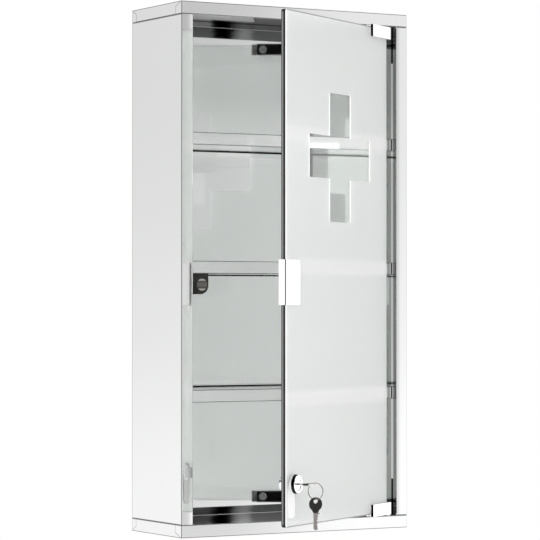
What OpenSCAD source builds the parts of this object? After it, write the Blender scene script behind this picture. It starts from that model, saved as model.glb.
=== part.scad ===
// Wall medicine cabinet in folded stainless steel with a lockable frosted glass door.
// Origin: centre of the four wall screws, on the rear face of the back panel.
// +X to the right seen from the front, +Y into the wall, +Z up, millimetres.
// The door is drawn closed and then turned about its pivot pins by open_angle.
// Inside the door, o is the distance outward from the outer face of the glass.

/* [Cabinet] */
// Outside width
cab_w = 300; // [240:1:420]
// Outside height
cab_h = 600; // [480:1:800]
// Outside depth, the door not counted
cab_d = 120; // [100:1:180]
// Thickness of the folded steel sheet
sheet = 0.8; // [0.6:0.1:1.2]
// Width of the double side walls, seen from the front
wall_w = 15; // [12:0.5:20]
// Height of the top and bottom caps
cap_h = 14.3; // [13:0.1:20]
// Gap between the caps and the side walls
seam = 0.35; // [0.1:0.05:0.6]
// Rounding of the vertical front edges
edge_r = 1.2; // [0.5:0.1:2]
// Depth of the hollow between the back panel and the wall
back_recess = 6; // [4:0.5:12]
// Thickness of the back panel
back_t = 1.0; // [0.8:0.1:1.5]
// Width of the side flanges that lie against the wall
rim_w = 11; // [6:0.5:11]

/* [Cap corners] */
// Distance of the rear tab fold from the rear edge
tab_rear = 10.2; // [6:0.1:20]
// Distance of the front tab fold from the front edge
tab_front = 14.2; // [6:0.1:20]
// Height over which the tab fold runs to the corner
tab_drop = 5.4; // [3:0.1:8]
// Width of the fold line
fold_w = 0.5; // [0.2:0.1:1]
// Depth of the fold line
fold_d = 0.25; // [0.1:0.05:0.4]

/* [Wall screws] */
// Diameter of the holes for the wall screws
screw_hole_d = 6; // [4:0.1:8]
// Distance of the holes from the inside of the side walls
screw_in_x = 25; // [12:0.5:60]
// Distance of the holes from the ceiling and the floor
screw_in_z = 25.7; // [12:0.1:60]

/* [Shelves] */
// Height of the lowest shelf above the floor
shelf_first = 150.3; // [80:0.1:200]
// Height from shelf to shelf
shelf_pitch = 145; // [60:0.5:180]
// Height of the folded shelf flanges
shelf_h = 14.3; // [12:0.1:25]
// Distance of the shelf fronts from the cabinet front
shelf_inset = 10.5; // [10:0.1:40]
// Gap between the shelves and the walls
shelf_gap = 0.4; // [0.1:0.1:1]
// Radius of the rivet shanks
rivet_r = 1.6; // [1:0.1:2.4]
// Radius of the rivet heads
rivet_head_r = 3.2; // [2.6:0.1:5]
// Thickness of the rivet heads
rivet_head_t = 0.9; // [0.5:0.1:1.5]
// Distance of the rivets from the front and rear ends of the shelf
rivet_in = 22; // [8:0.5:30]

/* [Door] */
// Thickness of the glass
glass_t = 5; // [4:0.5:6]
// Thickness of the frosting on the outer face
frost_t = 0.1; // [0.05:0.05:0.2]
// Depth of the outer face behind the cabinet front
face_set = 1.5; // [0:0.1:3]
// Gap between the free edge and the side wall
side_gap = 3.5; // [3:0.1:6]
// Gap above the glass
top_gap = 4.1; // [3.5:0.1:8]
// Gap below the glass
bottom_gap = 4.3; // [4.2:0.1:8]
// Radius of the glass corners
glass_r = 4; // [1:0.5:10]
// Opening angle of the door as drawn
open_angle = 31.45; // [0:0.05:110]

/* [Frosting] */
// Width of the clear cross
cross_w = 147.5; // [60:0.5:180]
// Height of the clear cross
cross_h = 144.3; // [60:0.1:180]
// Width of the upright bar of the cross
cross_bar_w = 49.2; // [15:0.1:60]
// Height of the level bar of the cross
cross_bar_h = 47.8; // [15:0.1:60]
// Distance from the top of the glass to the middle of the cross
cross_drop = 156.4; // [90:0.1:200]
// Sideways offset of the cross from the middle of the cabinet
cross_x = -0.7; // [-10:0.1:10]

/* [Pivots] */
// Distance of the pivot from the inside of the side wall
pivot_in = 10.5; // [8:0.1:16]
// Distance of the pivot behind the outer face of the glass
pivot_set = 1.2; // [1:0.1:3]
// Radius of the pivot pins
pin_r = 1.5; // [1.2:0.05:1.5]
// Running clearance of the pins in their bearings, on the radius
pin_fit = 0.05; // [0.02:0.01:0.1]
// Clearance of the pins in the ceiling and floor, on the radius
pin_clear = 0.3; // [0.2:0.05:0.35]
// Length of pin held in the clamps
pin_hold = 9; // [5:0.5:12]
// Height of the bearing blocks
bearing_h = 6; // [4:0.5:8]
// Width of the bearing blocks
bearing_w = 16; // [10:0.5:24]
// Depth of the bearing blocks
bearing_d = 10; // [6:0.5:20]
// Radius of the thrust washer
washer_r = 2.6; // [2.2:0.1:2.6]
// End clearance between the washer and the lower clamp
thrust_gap = 0.1; // [0.05:0.05:0.3]

/* [Clamps] */
// Length of the clamps from the pivot to the free end
clamp_w = 49; // [30:0.5:80]
// Height of the clamps
clamp_h = 14; // [10:0.1:25]
// Height of the clamps beyond the glass edge
clamp_over = 2.3; // [1.5:0.1:3]
// Distance of the outer clamp face from the glass
clamp_out = 4.0; // [2.5:0.1:6]
// Thickness of the soft pads
pad_t = 0.5; // [0.3:0.1:1]
// Thickness of the inner clamp leg
leg_t = 2.0; // [1.2:0.1:3]
// How much shorter the inner leg is than the outer plate
leg_short = 5.6; // [0:0.1:12]
// Radius of the clamp round the pin
knuckle_r = 4; // [3:0.1:4]
// Gap between the glass and the clamp's end block
end_gap = 0.5; // [0.3:0.1:1]
// Distance from the pivot to the hinge edge of the glass
hinge_edge = 5.5; // [5:0.1:8]
// Width of the bevel at the free end of the clamp
clamp_bevel = 0.8; // [0.5:0.1:3]
// Depth of that bevel
clamp_bevel_d = 2.4; // [0.5:0.1:2.4]
// Thickness of the inner cover
cover_t = 1.2; // [0.8:0.1:2]
// Gap round the cover on the leg
cover_in = 1.0; // [0.5:0.1:2]
// Radius of the clamp screw head
cscrew_r = 4.8; // [3.5:0.1:5.5]
// Thickness of the clamp screw head
cscrew_t = 1.0; // [0.6:0.1:2]
// Radius of the clamp screw shank
cshank_r = 2.0; // [1.5:0.1:2.5]
// Distance of the clamp screw from the free end
cscrew_in = 8.5; // [7:0.1:20]

/* [Handle] */
// Height of the handle
handle_h = 49.4; // [30:0.1:80]
// Width of the outer leaf
handle_w = 33.9; // [20:0.1:50]
// Width of the inner leaf
strike_w = 29.4; // [24:0.1:40]
// Sheet thickness of the handle
leaf_t = 1.1; // [0.8:0.05:1.5]
// Thickness of the pad behind the inner leaf
hpad_t = 1.9; // [1:0.1:3]
// Gap between the handle's end wall and the glass edge
edge_gap = 0.3; // [0.1:0.05:0.6]
// Radius of the leaf corners
leaf_r = 3; // [1:0.5:8]
// Outer radius of the folds
fold_r = 0.9; // [0.3:0.1:1]
// Distance of the handle's middle below the middle shelf's top
handle_drop = 25.0; // [10:0.1:40]

/* [Magnetic catch] */
// Width of the catch body, from the side wall
catch_w = 25.2; // [23:0.1:40]
// Height of the catch body
catch_h = 23.2; // [20:0.1:30]
// Depth of the catch body
catch_d = 15.2; // [12:0.1:25]
// Radius of the lower outer corner
catch_r = 10; // [2:0.5:11]
// Distance of the disc from the side wall
disc_in = 16.6; // [15:0.1:16.8]
// Distance of the disc below the shelf flange
disc_drop = 12.5; // [9:0.1:14]
// Radius of the disc
disc_r = 8.2; // [7:0.1:9]
// Height of the disc's rim above the body
disc_t = 0.8; // [0.4:0.1:2]
// Radius of the pole plates
pole_r = 6.6; // [5:0.1:6.8]
// Height of the magnet between the poles
magnet_h = 7; // [4:0.1:9]
// Depth of the magnet pocket
magnet_d = 5; // [3:0.5:8]
// Gap between the closed handle and the poles
catch_gap = 0.3; // [0.1:0.05:1]
// Radius of the catch screws
catch_screw_r = 1.6; // [1.2:0.1:2]

/* [Lock] */
// Distance of the lock axis from the free edge of the glass
lock_in = 18.1; // [15:0.1:25]
// Distance of the lock axis from the bottom edge of the glass
lock_up = 46.6; // [45:0.1:80]
// Radius of the lock bezel at the glass
bezel_r = 10.7; // [9.5:0.1:13]
// Height of the bezel above the glass
bezel_h = 6.8; // [4:0.1:10]
// Height of the straight foot of the bezel, below its cone
flange_h = 3.2; // [1.5:0.1:3.5]
// Radius of the threaded sleeve
sleeve_r = 8; // [7:0.1:9]
// Clearance of the sleeve in the glass hole, on the radius
sleeve_gap = 0.3; // [0.1:0.05:0.6]
// Radius of the turning plug
plug_r = 5.5; // [5:0.1:6.2]
// Running clearance of the plug, on the radius
plug_fit = 0.05; // [0.02:0.01:0.1]
// Depth of the plug's shoulder behind the outer glass face
plug_in = 12.5; // [12.5:0.1:16]
// Side of the square tail that carries the cam
tail_s = 6; // [5:0.1:6.4]
// Thickness of the cam
cam_t = 1.5; // [1:0.1:2.5]
// Width of the cam
cam_w = 12; // [9:0.1:14]
// Length of the cam from the axis to its end
cam_l = 30; // [25:0.5:32]
// Clearance of the cam in its wall slot, on each side
slot_gap = 1.75; // [1:0.05:3]
// Gap between cam and sleeve
cam_gap = 0.1; // [0.05:0.05:0.3]
// Across-corner radius of the hexagon nut
nut_r = 11; // [10:0.1:12]
// Thickness of the hexagon nut
nut_t = 3; // [2:0.1:3.5]
// Thickness of the plate behind the glass
plate_t = 1; // [0.6:0.1:1.5]
// Width of the plate behind the glass
plate_w = 17.4; // [17:0.1:24]
// Length of the plate below the lock axis
plate_down = 37.7; // [20:0.1:42]
// Length of the plate above the lock axis
plate_up = 10.5; // [10:0.1:20]
// Corner radius of the plate
plate_r = 8; // [1:0.1:8]

/* [Keys] */
// Radius of the round key heads
head_r = 7.5; // [6.5:0.1:10]
// Thickness of the key heads
head_t = 1.6; // [1.4:0.1:1.8]
// Radius of the hole in the key heads
eye_r = 2.6; // [2.5:0.05:2.7]
// Distance of the eye from the end of the head
eye_in = 4.2; // [4.1:0.05:4.4]
// Length of the neck below the round head
neck_l = 2.0; // [1:0.1:3]
// Width of the neck at its end
neck_w = 4.8; // [4.8:0.1:7]
// Length of the key blade
blade_l = 18.5; // [15:0.1:19]
// Width of the key blade
blade_w = 4.5; // [3.8:0.1:4.7]
// Thickness of the key blade
blade_t = 1.6; // [1.2:0.1:1.8]
// Length of blade inside the head
tang_l = 5; // [3:0.1:6]
// Thickness of the tang inside the head
tang_t = 0.9; // [0.6:0.1:1.1]
// Width of the blade's shoulder beyond its edge
stop_w = 2.0; // [1:0.1:3]
// Height of the blade's shoulder
stop_h = 1.3; // [0.8:0.1:1.5]
// Clearance of the blade in the keyway, on each side
key_gap = 0.3; // [0.15:0.05:0.4]
// Distance between the lock's face and the key head
key_out = 5.2; // [5:0.1:6]
// Mean radius of the split ring
ring_r = 9.0; // [8.9:0.05:9.2]
// Radius of the ring's wire
wire_r = 0.45; // [0.4:0.05:0.5]
// Distance of the ring's middle outward from the eye
ring_out = 4.7; // [4.6:0.05:4.9]
// Distance of the ring's middle below the key
ring_drop = 7.1; // [6.9:0.05:7.2]
// Turn of the hanging key about its own length
spare_turn = -40; // [-45:1:0]
// Height of the wire above the middle of the hanging key's eye
eye_lift = 1.6; // [1:0.05:1.7]

/* [Hidden] */
$fn = 64;
eps = 1;

// carcass
half_w = cab_w / 2;
half_h = cab_h / 2;
y_rear = back_recess;
y_front = back_recess - cab_d;
in_x = half_w - wall_w;
in_z = half_h - cap_h;
wall_top = in_z - seam;
skin_x = half_w - sheet;

// shelves
shelf_z = [for (i = [0 : 2]) -in_z + shelf_first + i * shelf_pitch];
shelf_x = in_x - shelf_gap;
shelf_y0 = y_front + shelf_inset;
shelf_y1 = -back_t - shelf_gap;
rivet_y = [shelf_y0 + rivet_in, shelf_y1 - rivet_in];
rivet_drop = sheet + (shelf_h - sheet) / 2;

// door
y_out = y_front + face_set;
free_x = -in_x + side_gap;
pivot_x = in_x - pivot_in;
pivot_y = y_out + pivot_set;
hinge_x = pivot_x - hinge_edge;
glass_z0 = -in_z + bottom_gap;
glass_z1 = in_z - top_gap;
glass_zc = (glass_z0 + glass_z1) / 2;

// clamps, drawn at the top and mirrored for the bottom
clamp_x0 = pivot_x - clamp_w;
clamp_z1 = glass_z1 + clamp_over;
clamp_z0 = clamp_z1 - clamp_h;
block_x0 = hinge_x + end_gap;
leg_o0 = -glass_t - pad_t - leg_t;
cover_o0 = leg_o0 - cover_t;
leg_x0 = clamp_x0 + leg_short;
cscrew_x = leg_x0 + cscrew_in;
cscrew_z = (clamp_z0 + glass_z1) / 2 + 0.75;

// handle
handle_zc = shelf_z[1] - handle_drop;
handle_x0 = free_x - edge_gap - leaf_t;
strike_o1 = -glass_t - hpad_t;
strike_o0 = strike_o1 - leaf_t;

// catch
disc_x = -in_x + disc_in;
flange_z = shelf_z[1] - shelf_h;
disc_z = flange_z - disc_drop;
pole_y = y_out - strike_o0 + catch_gap;
disc_y = pole_y + 0.2;
catch_y0 = disc_y + disc_t;
catch_screw_z = [flange_z - 6.3, flange_z - 17.3];
catch_screw_y = catch_y0 + catch_d - 4.5;

// lock
lock_x = free_x + lock_in;
lock_z = glass_z0 + lock_up;
plug_face = bezel_h - 0.8;
plate_o1 = -glass_t;
nut_o1 = plate_o1 - plate_t;
cam_o1 = -plug_in - cam_gap;
cam_o0 = cam_o1 - cam_t;
cam_mid = y_out - (cam_o0 + cam_o1) / 2;
slot_y = cam_t / 2 + slot_gap;
slot_z = cam_w / 2 + slot_gap;
// how far below the axis the arm's end crosses the inside of the wall as the closed lock turns
cam_sweep = sqrt(pow(norm([cam_l, cam_w / 2]), 2) - pow(side_gap + lock_in, 2)) + slot_gap;

// keys
head_o = bezel_h + key_out + head_r;
eye_up = head_r - eye_in;
ring_o = head_o + eye_up + ring_out;
ring_z = lock_z - ring_drop;
wire_z = ring_z - ring_r;
spare_z = wire_z - eye_lift - eye_up;
blade_top = head_r + neck_l;
keyway_in = head_o - blade_top - blade_l - 0.5;

function oy(o) = y_out - o;

module box(x0, x1, y0, y1, z0, z1) {
    translate([x0, y0, z0]) cube([x1 - x0, y1 - y0, z1 - z0]);
}

// a box in the door, between two distances from the glass's outer face
module slab(x0, x1, o0, o1, z0, z1) {
    box(x0, x1, oy(o1), oy(o0), z0, z1);
}

// a disc or rod square to the glass
module rod(x, z, o0, o1, r) {
    translate([x, oy(o0), z]) rotate([90, 0, 0]) cylinder(h = o1 - o0, r = r);
}

// a flat outline seen from the front, extruded square to the glass
module sheet_o(o0, o1) {
    translate([0, oy(o0), 0]) rotate([90, 0, 0]) linear_extrude(o1 - o0) children();
}

// an outline in the Y-Z plane, extruded along X
module sheet_x(x0, x1) {
    translate([x0, 0, 0]) rotate([90, 0, 90]) linear_extrude(x1 - x0) children();
}

// rectangle with its own radius at each side, left then right
module plate2d(x0, x1, z0, z1, rl, rr) {
    difference() {
        translate([x0, z0]) square([x1 - x0, z1 - z0]);
        for (z = [0, 1]) {
            if (rl > 0) corner_cut(x0, z == 0 ? z0 : z1, 1, z == 0 ? 1 : -1, rl);
            if (rr > 0) corner_cut(x1, z == 0 ? z0 : z1, -1, z == 0 ? 1 : -1, rr);
        }
    }
}

// what is removed to round one corner whose material lies towards (sx, sz)
module corner_cut(x, z, sx, sz, r) {
    translate([x, z]) scale_sign(sx, sz) difference() {
        translate([-eps, -eps]) square([r + eps, r + eps]);
        translate([r, r]) circle(r);
    }
}

module scale_sign(sx, sz) {
    mirror([sx < 0 ? 1 : 0, 0]) mirror([0, sz < 0 ? 1 : 0]) children();
}

// straight line of a given width between two points
module line2d(a, b, w) {
    n = [a[1] - b[1], b[0] - a[0]] / norm(b - a) * w / 2;
    polygon([a + n, b + n, b - n, a - n]);
}

module door_turn() {
    translate([pivot_x, pivot_y, 0]) rotate([0, 0, open_angle])
        translate([-pivot_x, -pivot_y, 0]) children();
}

// moves a shape made for the top of the door to its bottom
module to_bottom() {
    translate([0, 0, 2 * glass_zc]) mirror([0, 0, 1]) children();
}

// ---------- carcass ----------

// fold lines of the corner tabs on one cap end
module tab_folds() {
    rear = y_rear - tab_rear;
    front = y_front + tab_front;
    knee = half_h - tab_drop;
    line2d([rear, in_z - eps], [rear, knee], fold_w);
    line2d([rear, knee], [y_rear + eps, half_h + eps * tab_drop / tab_rear], fold_w);
    line2d([front, in_z - eps], [front, knee], fold_w);
    line2d([front, knee], [y_front - eps, half_h + eps * tab_drop / tab_front], fold_w);
}

module cap() {
    difference() {
        translate([0, 0, in_z]) linear_extrude(cap_h) cap_plan(0);
        translate([0, 0, in_z - eps]) linear_extrude(cap_h - sheet + eps) cap_plan(sheet);
        sheet_x(half_w - fold_d, half_w + eps) tab_folds();
        sheet_x(-half_w - eps, -half_w + fold_d) tab_folds();
    }
}

// plan outline of the cabinet, set in by t, with rounded front corners
module cap_plan(t) {
    r = max(edge_r - t, 0.1);
    difference() {
        translate([-half_w + t, y_front + t]) square([cab_w - 2 * t, cab_d - 2 * t]);
        corner_cut(-half_w + t, y_front + t, 1, 1, r);
        corner_cut(half_w - t, y_front + t, -1, 1, r);
    }
}

module top_cap() {
    color("gainsboro") cap();
}

module bottom_cap() {
    color("gainsboro") mirror([0, 0, 1]) cap();
}

// plan of the right side wall: outer skin, front stile, inner skin and wall flange
module side_plan() {
    difference() {
        translate([in_x, y_front]) square([wall_w, cab_d]);
        corner_cut(half_w, y_front, -1, 1, edge_r);
        corner_cut(in_x, y_front, 1, 1, edge_r);
        difference() {
            translate([in_x + sheet, y_front + sheet]) square([wall_w - 2 * sheet, cab_d - 2 * sheet]);
            corner_cut(half_w - sheet, y_front + sheet, -1, 1, max(edge_r - sheet, 0.1));
            corner_cut(in_x + sheet, y_front + sheet, 1, 1, max(edge_r - sheet, 0.1));
        }
        translate([in_x - eps, -back_t]) square([wall_w - rim_w + eps, cab_d]);
    }
}

module side_wall() {
    difference() {
        translate([0, 0, -wall_top]) linear_extrude(2 * wall_top) side_plan();
        rivet_bores();
    }
}

// holes for the shelf rivets in the right inner skin
module rivet_bores() {
    for (z = shelf_z) for (y = rivet_y)
        translate([in_x - eps, y, z - rivet_drop]) rotate([0, 90, 0])
            cylinder(h = sheet + 2 * eps, r = rivet_r);
}

module right_side_panel() {
    color("gainsboro") side_wall();
}

module left_side_panel() {
    color("gainsboro") difference() {
        mirror([1, 0, 0]) side_wall();
        box(-in_x - sheet - eps, -in_x + eps, cam_mid - slot_y, cam_mid + slot_y,
            lock_z - cam_sweep, lock_z + slot_z);
        for (z = catch_screw_z)
            translate([-in_x - sheet - eps, catch_screw_y, z]) rotate([0, 90, 0])
                cylinder(h = sheet + 2 * eps, r = catch_screw_r);
    }
}

module back_panel() {
    color("silver") difference() {
        box(-skin_x, skin_x, -back_t, 0, -half_h + sheet, half_h - sheet);
        for (x = [-1, 1]) for (z = [-1, 1])
            translate([x * (in_x - screw_in_x), eps, z * (in_z - screw_in_z)])
                rotate([90, 0, 0]) cylinder(h = back_t + 2 * eps, d = screw_hole_d);
    }
}

module lining() {
    difference() {
        box(-skin_x, skin_x, y_front + sheet, -back_t, in_z, in_z + sheet);
        translate([pivot_x, pivot_y, in_z - eps]) cylinder(h = sheet + 2 * eps, r = pin_r + pin_clear);
    }
}

module ceiling_panel() {
    color("silver") difference() {
        lining();
        lining_corners();
    }
}

module floor_panel() {
    color("silver") mirror([0, 0, 1]) difference() {
        lining();
        lining_corners();
    }
}

// the lining's front corners follow the rounded corners of the caps
module lining_corners() {
    translate([0, 0, in_z - eps]) linear_extrude(sheet + 2 * eps) {
        corner_cut(-skin_x, y_front + sheet, 1, 1, max(edge_r - sheet, 0.1));
        corner_cut(skin_x, y_front + sheet, -1, 1, max(edge_r - sheet, 0.1));
    }
}

// front and side flanges with a return underneath, open towards the back panel
module shelf(z) {
    difference() {
        box(-shelf_x, shelf_x, shelf_y0, shelf_y1, z - shelf_h, z);
        box(-shelf_x + sheet, shelf_x - sheet, shelf_y0 + sheet, shelf_y1 + eps,
            z - shelf_h + sheet, z - sheet);
        for (y = rivet_y)
            translate([-shelf_x - eps, y, z - rivet_drop]) rotate([0, 90, 0])
                cylinder(h = 2 * shelf_x + 2 * eps, r = rivet_r);
    }
}

module upper_shelf() {
    color("lightgray") shelf(shelf_z[2]);
}

module middle_shelf() {
    color("lightgray") shelf(shelf_z[1]);
}

module lower_shelf() {
    color("lightgray") shelf(shelf_z[0]);
}

module rivet() {
    x0 = shelf_x - sheet;
    x1 = in_x + sheet;
    rotate([0, 90, 0]) {
        translate([0, 0, x0 - rivet_head_t]) cylinder(h = rivet_head_t, r = rivet_head_r);
        translate([0, 0, x0 - rivet_head_t / 2]) cylinder(h = x1 - x0 + rivet_head_t, r = rivet_r);
        translate([0, 0, x1]) cylinder(h = rivet_head_t, r = rivet_r * 1.5);
    }
}

module shelf_rivets() {
    color("darkgray") for (s = [0, 1]) for (z = shelf_z) for (y = rivet_y)
        mirror([s, 0, 0]) translate([0, y, z - rivet_drop]) rivet();
}

// ---------- pivots in the caps ----------

module bearing() {
    difference() {
        box(pivot_x - bearing_w / 2, pivot_x + bearing_w / 2, y_front + sheet,
            y_front + sheet + bearing_d, in_z + sheet, in_z + sheet + bearing_h);
        translate([pivot_x, pivot_y, in_z + sheet - eps])
            cylinder(h = bearing_h + 2 * eps, r = pin_r + pin_fit);
    }
}

module upper_bearing() {
    color("white") bearing();
}

module lower_bearing() {
    color("white") mirror([0, 0, 1]) bearing();
}

module lower_washer() {
    h = bottom_gap - clamp_over - thrust_gap;
    color("white") difference() {
        translate([pivot_x, pivot_y, -in_z]) cylinder(h = h, r = washer_r);
        translate([pivot_x, pivot_y, -in_z - eps]) cylinder(h = h + 2 * eps, r = pin_r + pin_fit);
    }
}

// ---------- magnetic catch ----------

module catch_body() {
    color([0.22, 0.22, 0.21]) difference() {
        union() {
            translate([0, catch_y0 + catch_d, 0]) rotate([90, 0, 0]) linear_extrude(catch_d)
                difference() {
                    translate([-in_x, flange_z - catch_h]) square([catch_w, catch_h]);
                    corner_cut(-in_x + catch_w, flange_z - catch_h, -1, 1, catch_r);
                }
            translate([disc_x, catch_y0 + 1, disc_z]) rotate([90, 0, 0])
                cylinder(h = disc_t + 1, r = disc_r);
        }
        translate([disc_x, pole_y + magnet_d, disc_z]) rotate([90, 0, 0])
            cylinder(h = magnet_d + eps, r = pole_r);
        for (z = catch_screw_z) {
            translate([-in_x - eps, catch_screw_y, z]) rotate([0, 90, 0])
                cylinder(h = catch_w + 2 * eps, r = catch_screw_r);
            translate([-in_x + catch_w - 3, catch_screw_y, z]) rotate([0, 90, 0])
                cylinder(h = 3 + eps, r = 2 * catch_screw_r);
        }
    }
}

module magnet_outline(inside) {
    intersection() {
        circle(pole_r);
        union() {
            if (inside) translate([-pole_r, -magnet_h / 2]) square([2 * pole_r, magnet_h]);
            if (!inside) translate([-pole_r, magnet_h / 2]) square([2 * pole_r, pole_r]);
            if (!inside) translate([-pole_r, -magnet_h / 2 - pole_r]) square([2 * pole_r, pole_r]);
        }
    }
}

module catch_magnet() {
    color("dimgray") translate([disc_x, pole_y + magnet_d, disc_z]) rotate([90, 0, 0])
        linear_extrude(magnet_d - 0.1) magnet_outline(true);
}

module catch_poles() {
    color("silver") translate([disc_x, pole_y + magnet_d, disc_z]) rotate([90, 0, 0])
        linear_extrude(magnet_d) magnet_outline(false);
}

module catch_screws() {
    x1 = -in_x + catch_w - 3;
    color("darkgray") for (z = catch_screw_z) translate([0, catch_screw_y, z]) rotate([0, 90, 0]) {
        translate([0, 0, x1]) cylinder(h = 1.6, r = 2 * catch_screw_r - 0.2);
        translate([0, 0, -in_x - sheet - 3]) cylinder(h = x1 + in_x + sheet + 3.8, r = catch_screw_r);
    }
}

// ---------- door ----------

module glass2d() {
    difference() {
        plate2d(free_x, hinge_x, glass_z0, glass_z1, glass_r, glass_r);
        translate([lock_x, lock_z]) circle(sleeve_r + sleeve_gap);
    }
}

module cross2d() {
    x = cross_x;
    z = glass_z1 - cross_drop;
    translate([x - cross_w / 2, z - cross_bar_h / 2]) square([cross_w, cross_bar_h]);
    translate([x - cross_bar_w / 2, z - cross_h / 2]) square([cross_bar_w, cross_h]);
}

module door_glass() {
    color([0.8, 0.9, 0.87]) door_turn() sheet_o(-glass_t, 0) glass2d();
}

module frosting() {
    color([0.93, 0.96, 0.95]) door_turn() sheet_o(0, frost_t) difference() {
        glass2d();
        cross2d();
    }
}

module handle() {
    z0 = handle_zc - handle_h / 2;
    z1 = handle_zc + handle_h / 2;
    color("white") door_turn() difference() {
        union() {
            sheet_o(frost_t, frost_t + leaf_t)
                plate2d(handle_x0, handle_x0 + handle_w, z0, z1, 0, leaf_r);
            slab(handle_x0, handle_x0 + leaf_t, strike_o0, frost_t + leaf_t, z0, z1);
            sheet_o(strike_o0, strike_o1)
                plate2d(handle_x0, handle_x0 + strike_w, z0, z1, 0, leaf_r);
        }
        translate([0, 0, z0 - eps]) linear_extrude(handle_h + 2 * eps) {
            corner_cut(handle_x0, oy(frost_t + leaf_t), 1, 1, fold_r);
            corner_cut(handle_x0, oy(strike_o0), 1, -1, fold_r);
        }
    }
}

module handle_pad() {
    color("lightgray") door_turn() slab(free_x + edge_gap, handle_x0 + strike_w - edge_gap,
        strike_o1, -glass_t, handle_zc - handle_h / 2 + edge_gap, handle_zc + handle_h / 2 - edge_gap);
}

// plan of a clamp: outer plate, end block, knuckle and inner leg
module clamp_plan() {
    difference() {
        translate([clamp_x0, oy(clamp_out)]) square([clamp_w, clamp_out - pad_t]);
        polygon([
            [clamp_x0 - eps, oy(clamp_out) - eps], [clamp_x0 + clamp_bevel, oy(clamp_out) - eps],
            [clamp_x0 + clamp_bevel, oy(clamp_out)], [clamp_x0, oy(clamp_out) + clamp_bevel_d],
            [clamp_x0 - eps, oy(clamp_out) + clamp_bevel_d]
        ]);
    }
    translate([block_x0, oy(clamp_out)]) square([pivot_x - block_x0, clamp_out - leg_o0]);
    translate([pivot_x, pivot_y]) circle(knuckle_r);
    translate([leg_x0 + cover_in, oy(leg_o0 + leg_t)]) square([pivot_x - leg_x0 - cover_in, leg_t]);
}

module clamp() {
    difference() {
        union() {
            translate([0, 0, clamp_z0]) linear_extrude(clamp_h) clamp_plan();
            slab(leg_x0 + clamp_bevel, block_x0 + end_gap, -glass_t / 2, clamp_out - 1,
                glass_z1 + end_gap / 2, clamp_z1);
        }
        translate([pivot_x, pivot_y, clamp_z1 - pin_hold]) cylinder(h = pin_hold + eps, r = pin_r);
        rod(cscrew_x, cscrew_z, leg_o0 - eps, -glass_t - pad_t + eps, cshank_r);
        sheet_o(-glass_t - pad_t - leg_t - eps, clamp_out + eps) polygon([
            [pivot_x + pin_r, clamp_z1 + eps], [pivot_x + pin_r, clamp_z1],
            [pivot_x + knuckle_r, clamp_z1 - clamp_over], [pivot_x + knuckle_r + eps, clamp_z1 + eps]
        ]);
    }
}

module clamp_pads() {
    for (pad = [[leg_x0 + cover_in, -glass_t - pad_t, -glass_t], [clamp_x0 + clamp_bevel, frost_t, pad_t]])
        slab(pad[0], hinge_x - end_gap, pad[1], pad[2], clamp_z0 + end_gap, glass_z1);
}

module clamp_cover() {
    difference() {
        sheet_o(cover_o0, leg_o0) plate2d(leg_x0 + cover_in, hinge_x - 2 * cover_in,
            clamp_z0 + cover_in / 2, clamp_z1 - cover_in, 1, 1);
        rod(cscrew_x, cscrew_z, cover_o0 - eps, leg_o0 + eps, cshank_r);
    }
}

module clamp_screw() {
    difference() {
        union() {
            rod(cscrew_x, cscrew_z, cover_o0 - cscrew_t, cover_o0, cscrew_r);
            rod(cscrew_x, cscrew_z, cover_o0 - cscrew_t / 2, -glass_t - pad_t, cshank_r);
        }
        translate([cscrew_x, oy(cover_o0 - cscrew_t - eps), cscrew_z]) rotate([90, 0, 0])
            cylinder(h = eps + 0.7 * cscrew_t, r = 0.8 * cshank_r, $fn = 6);
    }
}

module pin() {
    z0 = clamp_z1 - pin_hold;
    translate([pivot_x, pivot_y, z0]) cylinder(h = in_z + sheet + bearing_h - 1 - z0, r = pin_r);
}

module upper_clamp() {
    color("white") door_turn() clamp();
}

module upper_clamp_pads() {
    color("lightgray") door_turn() clamp_pads();
}

module upper_clamp_cover() {
    color([0.12, 0.12, 0.12]) door_turn() clamp_cover();
}

module upper_clamp_screw() {
    color("silver") door_turn() clamp_screw();
}

module upper_pin() {
    color("gray") door_turn() pin();
}

module lower_clamp() {
    color("white") door_turn() to_bottom() clamp();
}

module lower_clamp_pads() {
    color("lightgray") door_turn() to_bottom() clamp_pads();
}

module lower_clamp_cover() {
    color([0.12, 0.12, 0.12]) door_turn() to_bottom() clamp_cover();
}

module lower_clamp_screw() {
    color("silver") door_turn() to_bottom() clamp_screw();
}

module lower_pin() {
    z1 = 2 * glass_zc - clamp_z1 + pin_hold;
    z0 = -in_z - sheet - bearing_h + 1;
    color("gray") door_turn() translate([pivot_x, pivot_y, z0]) cylinder(h = z1 - z0, r = pin_r);
}

// ---------- lock ----------

// turns children drawn about Z, outward up, onto the lock axis
module on_lock() {
    door_turn() translate([lock_x, oy(0), lock_z]) rotate([90, 0, 0]) children();
}

module lock_gasket() {
    color([0.2, 0.2, 0.2]) on_lock() difference() {
        translate([0, 0, frost_t]) cylinder(h = pad_t - frost_t, r = bezel_r - 0.3);
        translate([0, 0, -eps]) cylinder(h = 2 + eps, r = sleeve_r + sleeve_gap);
    }
}

module lock_housing() {
    bore = plug_r + plug_fit;
    color("white") on_lock() rotate_extrude() polygon([
        [bore, -plug_in + 0.2], [sleeve_r, -plug_in + 0.2], [sleeve_r, pad_t], [bezel_r, pad_t],
        [bezel_r, flange_h], [bezel_r - 0.9, bezel_h - 0.4], [bezel_r - 1.2, bezel_h],
        [bore + 1.6, bezel_h], [bore + 0.8, plug_face], [bore, plug_face]
    ]);
}

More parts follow.
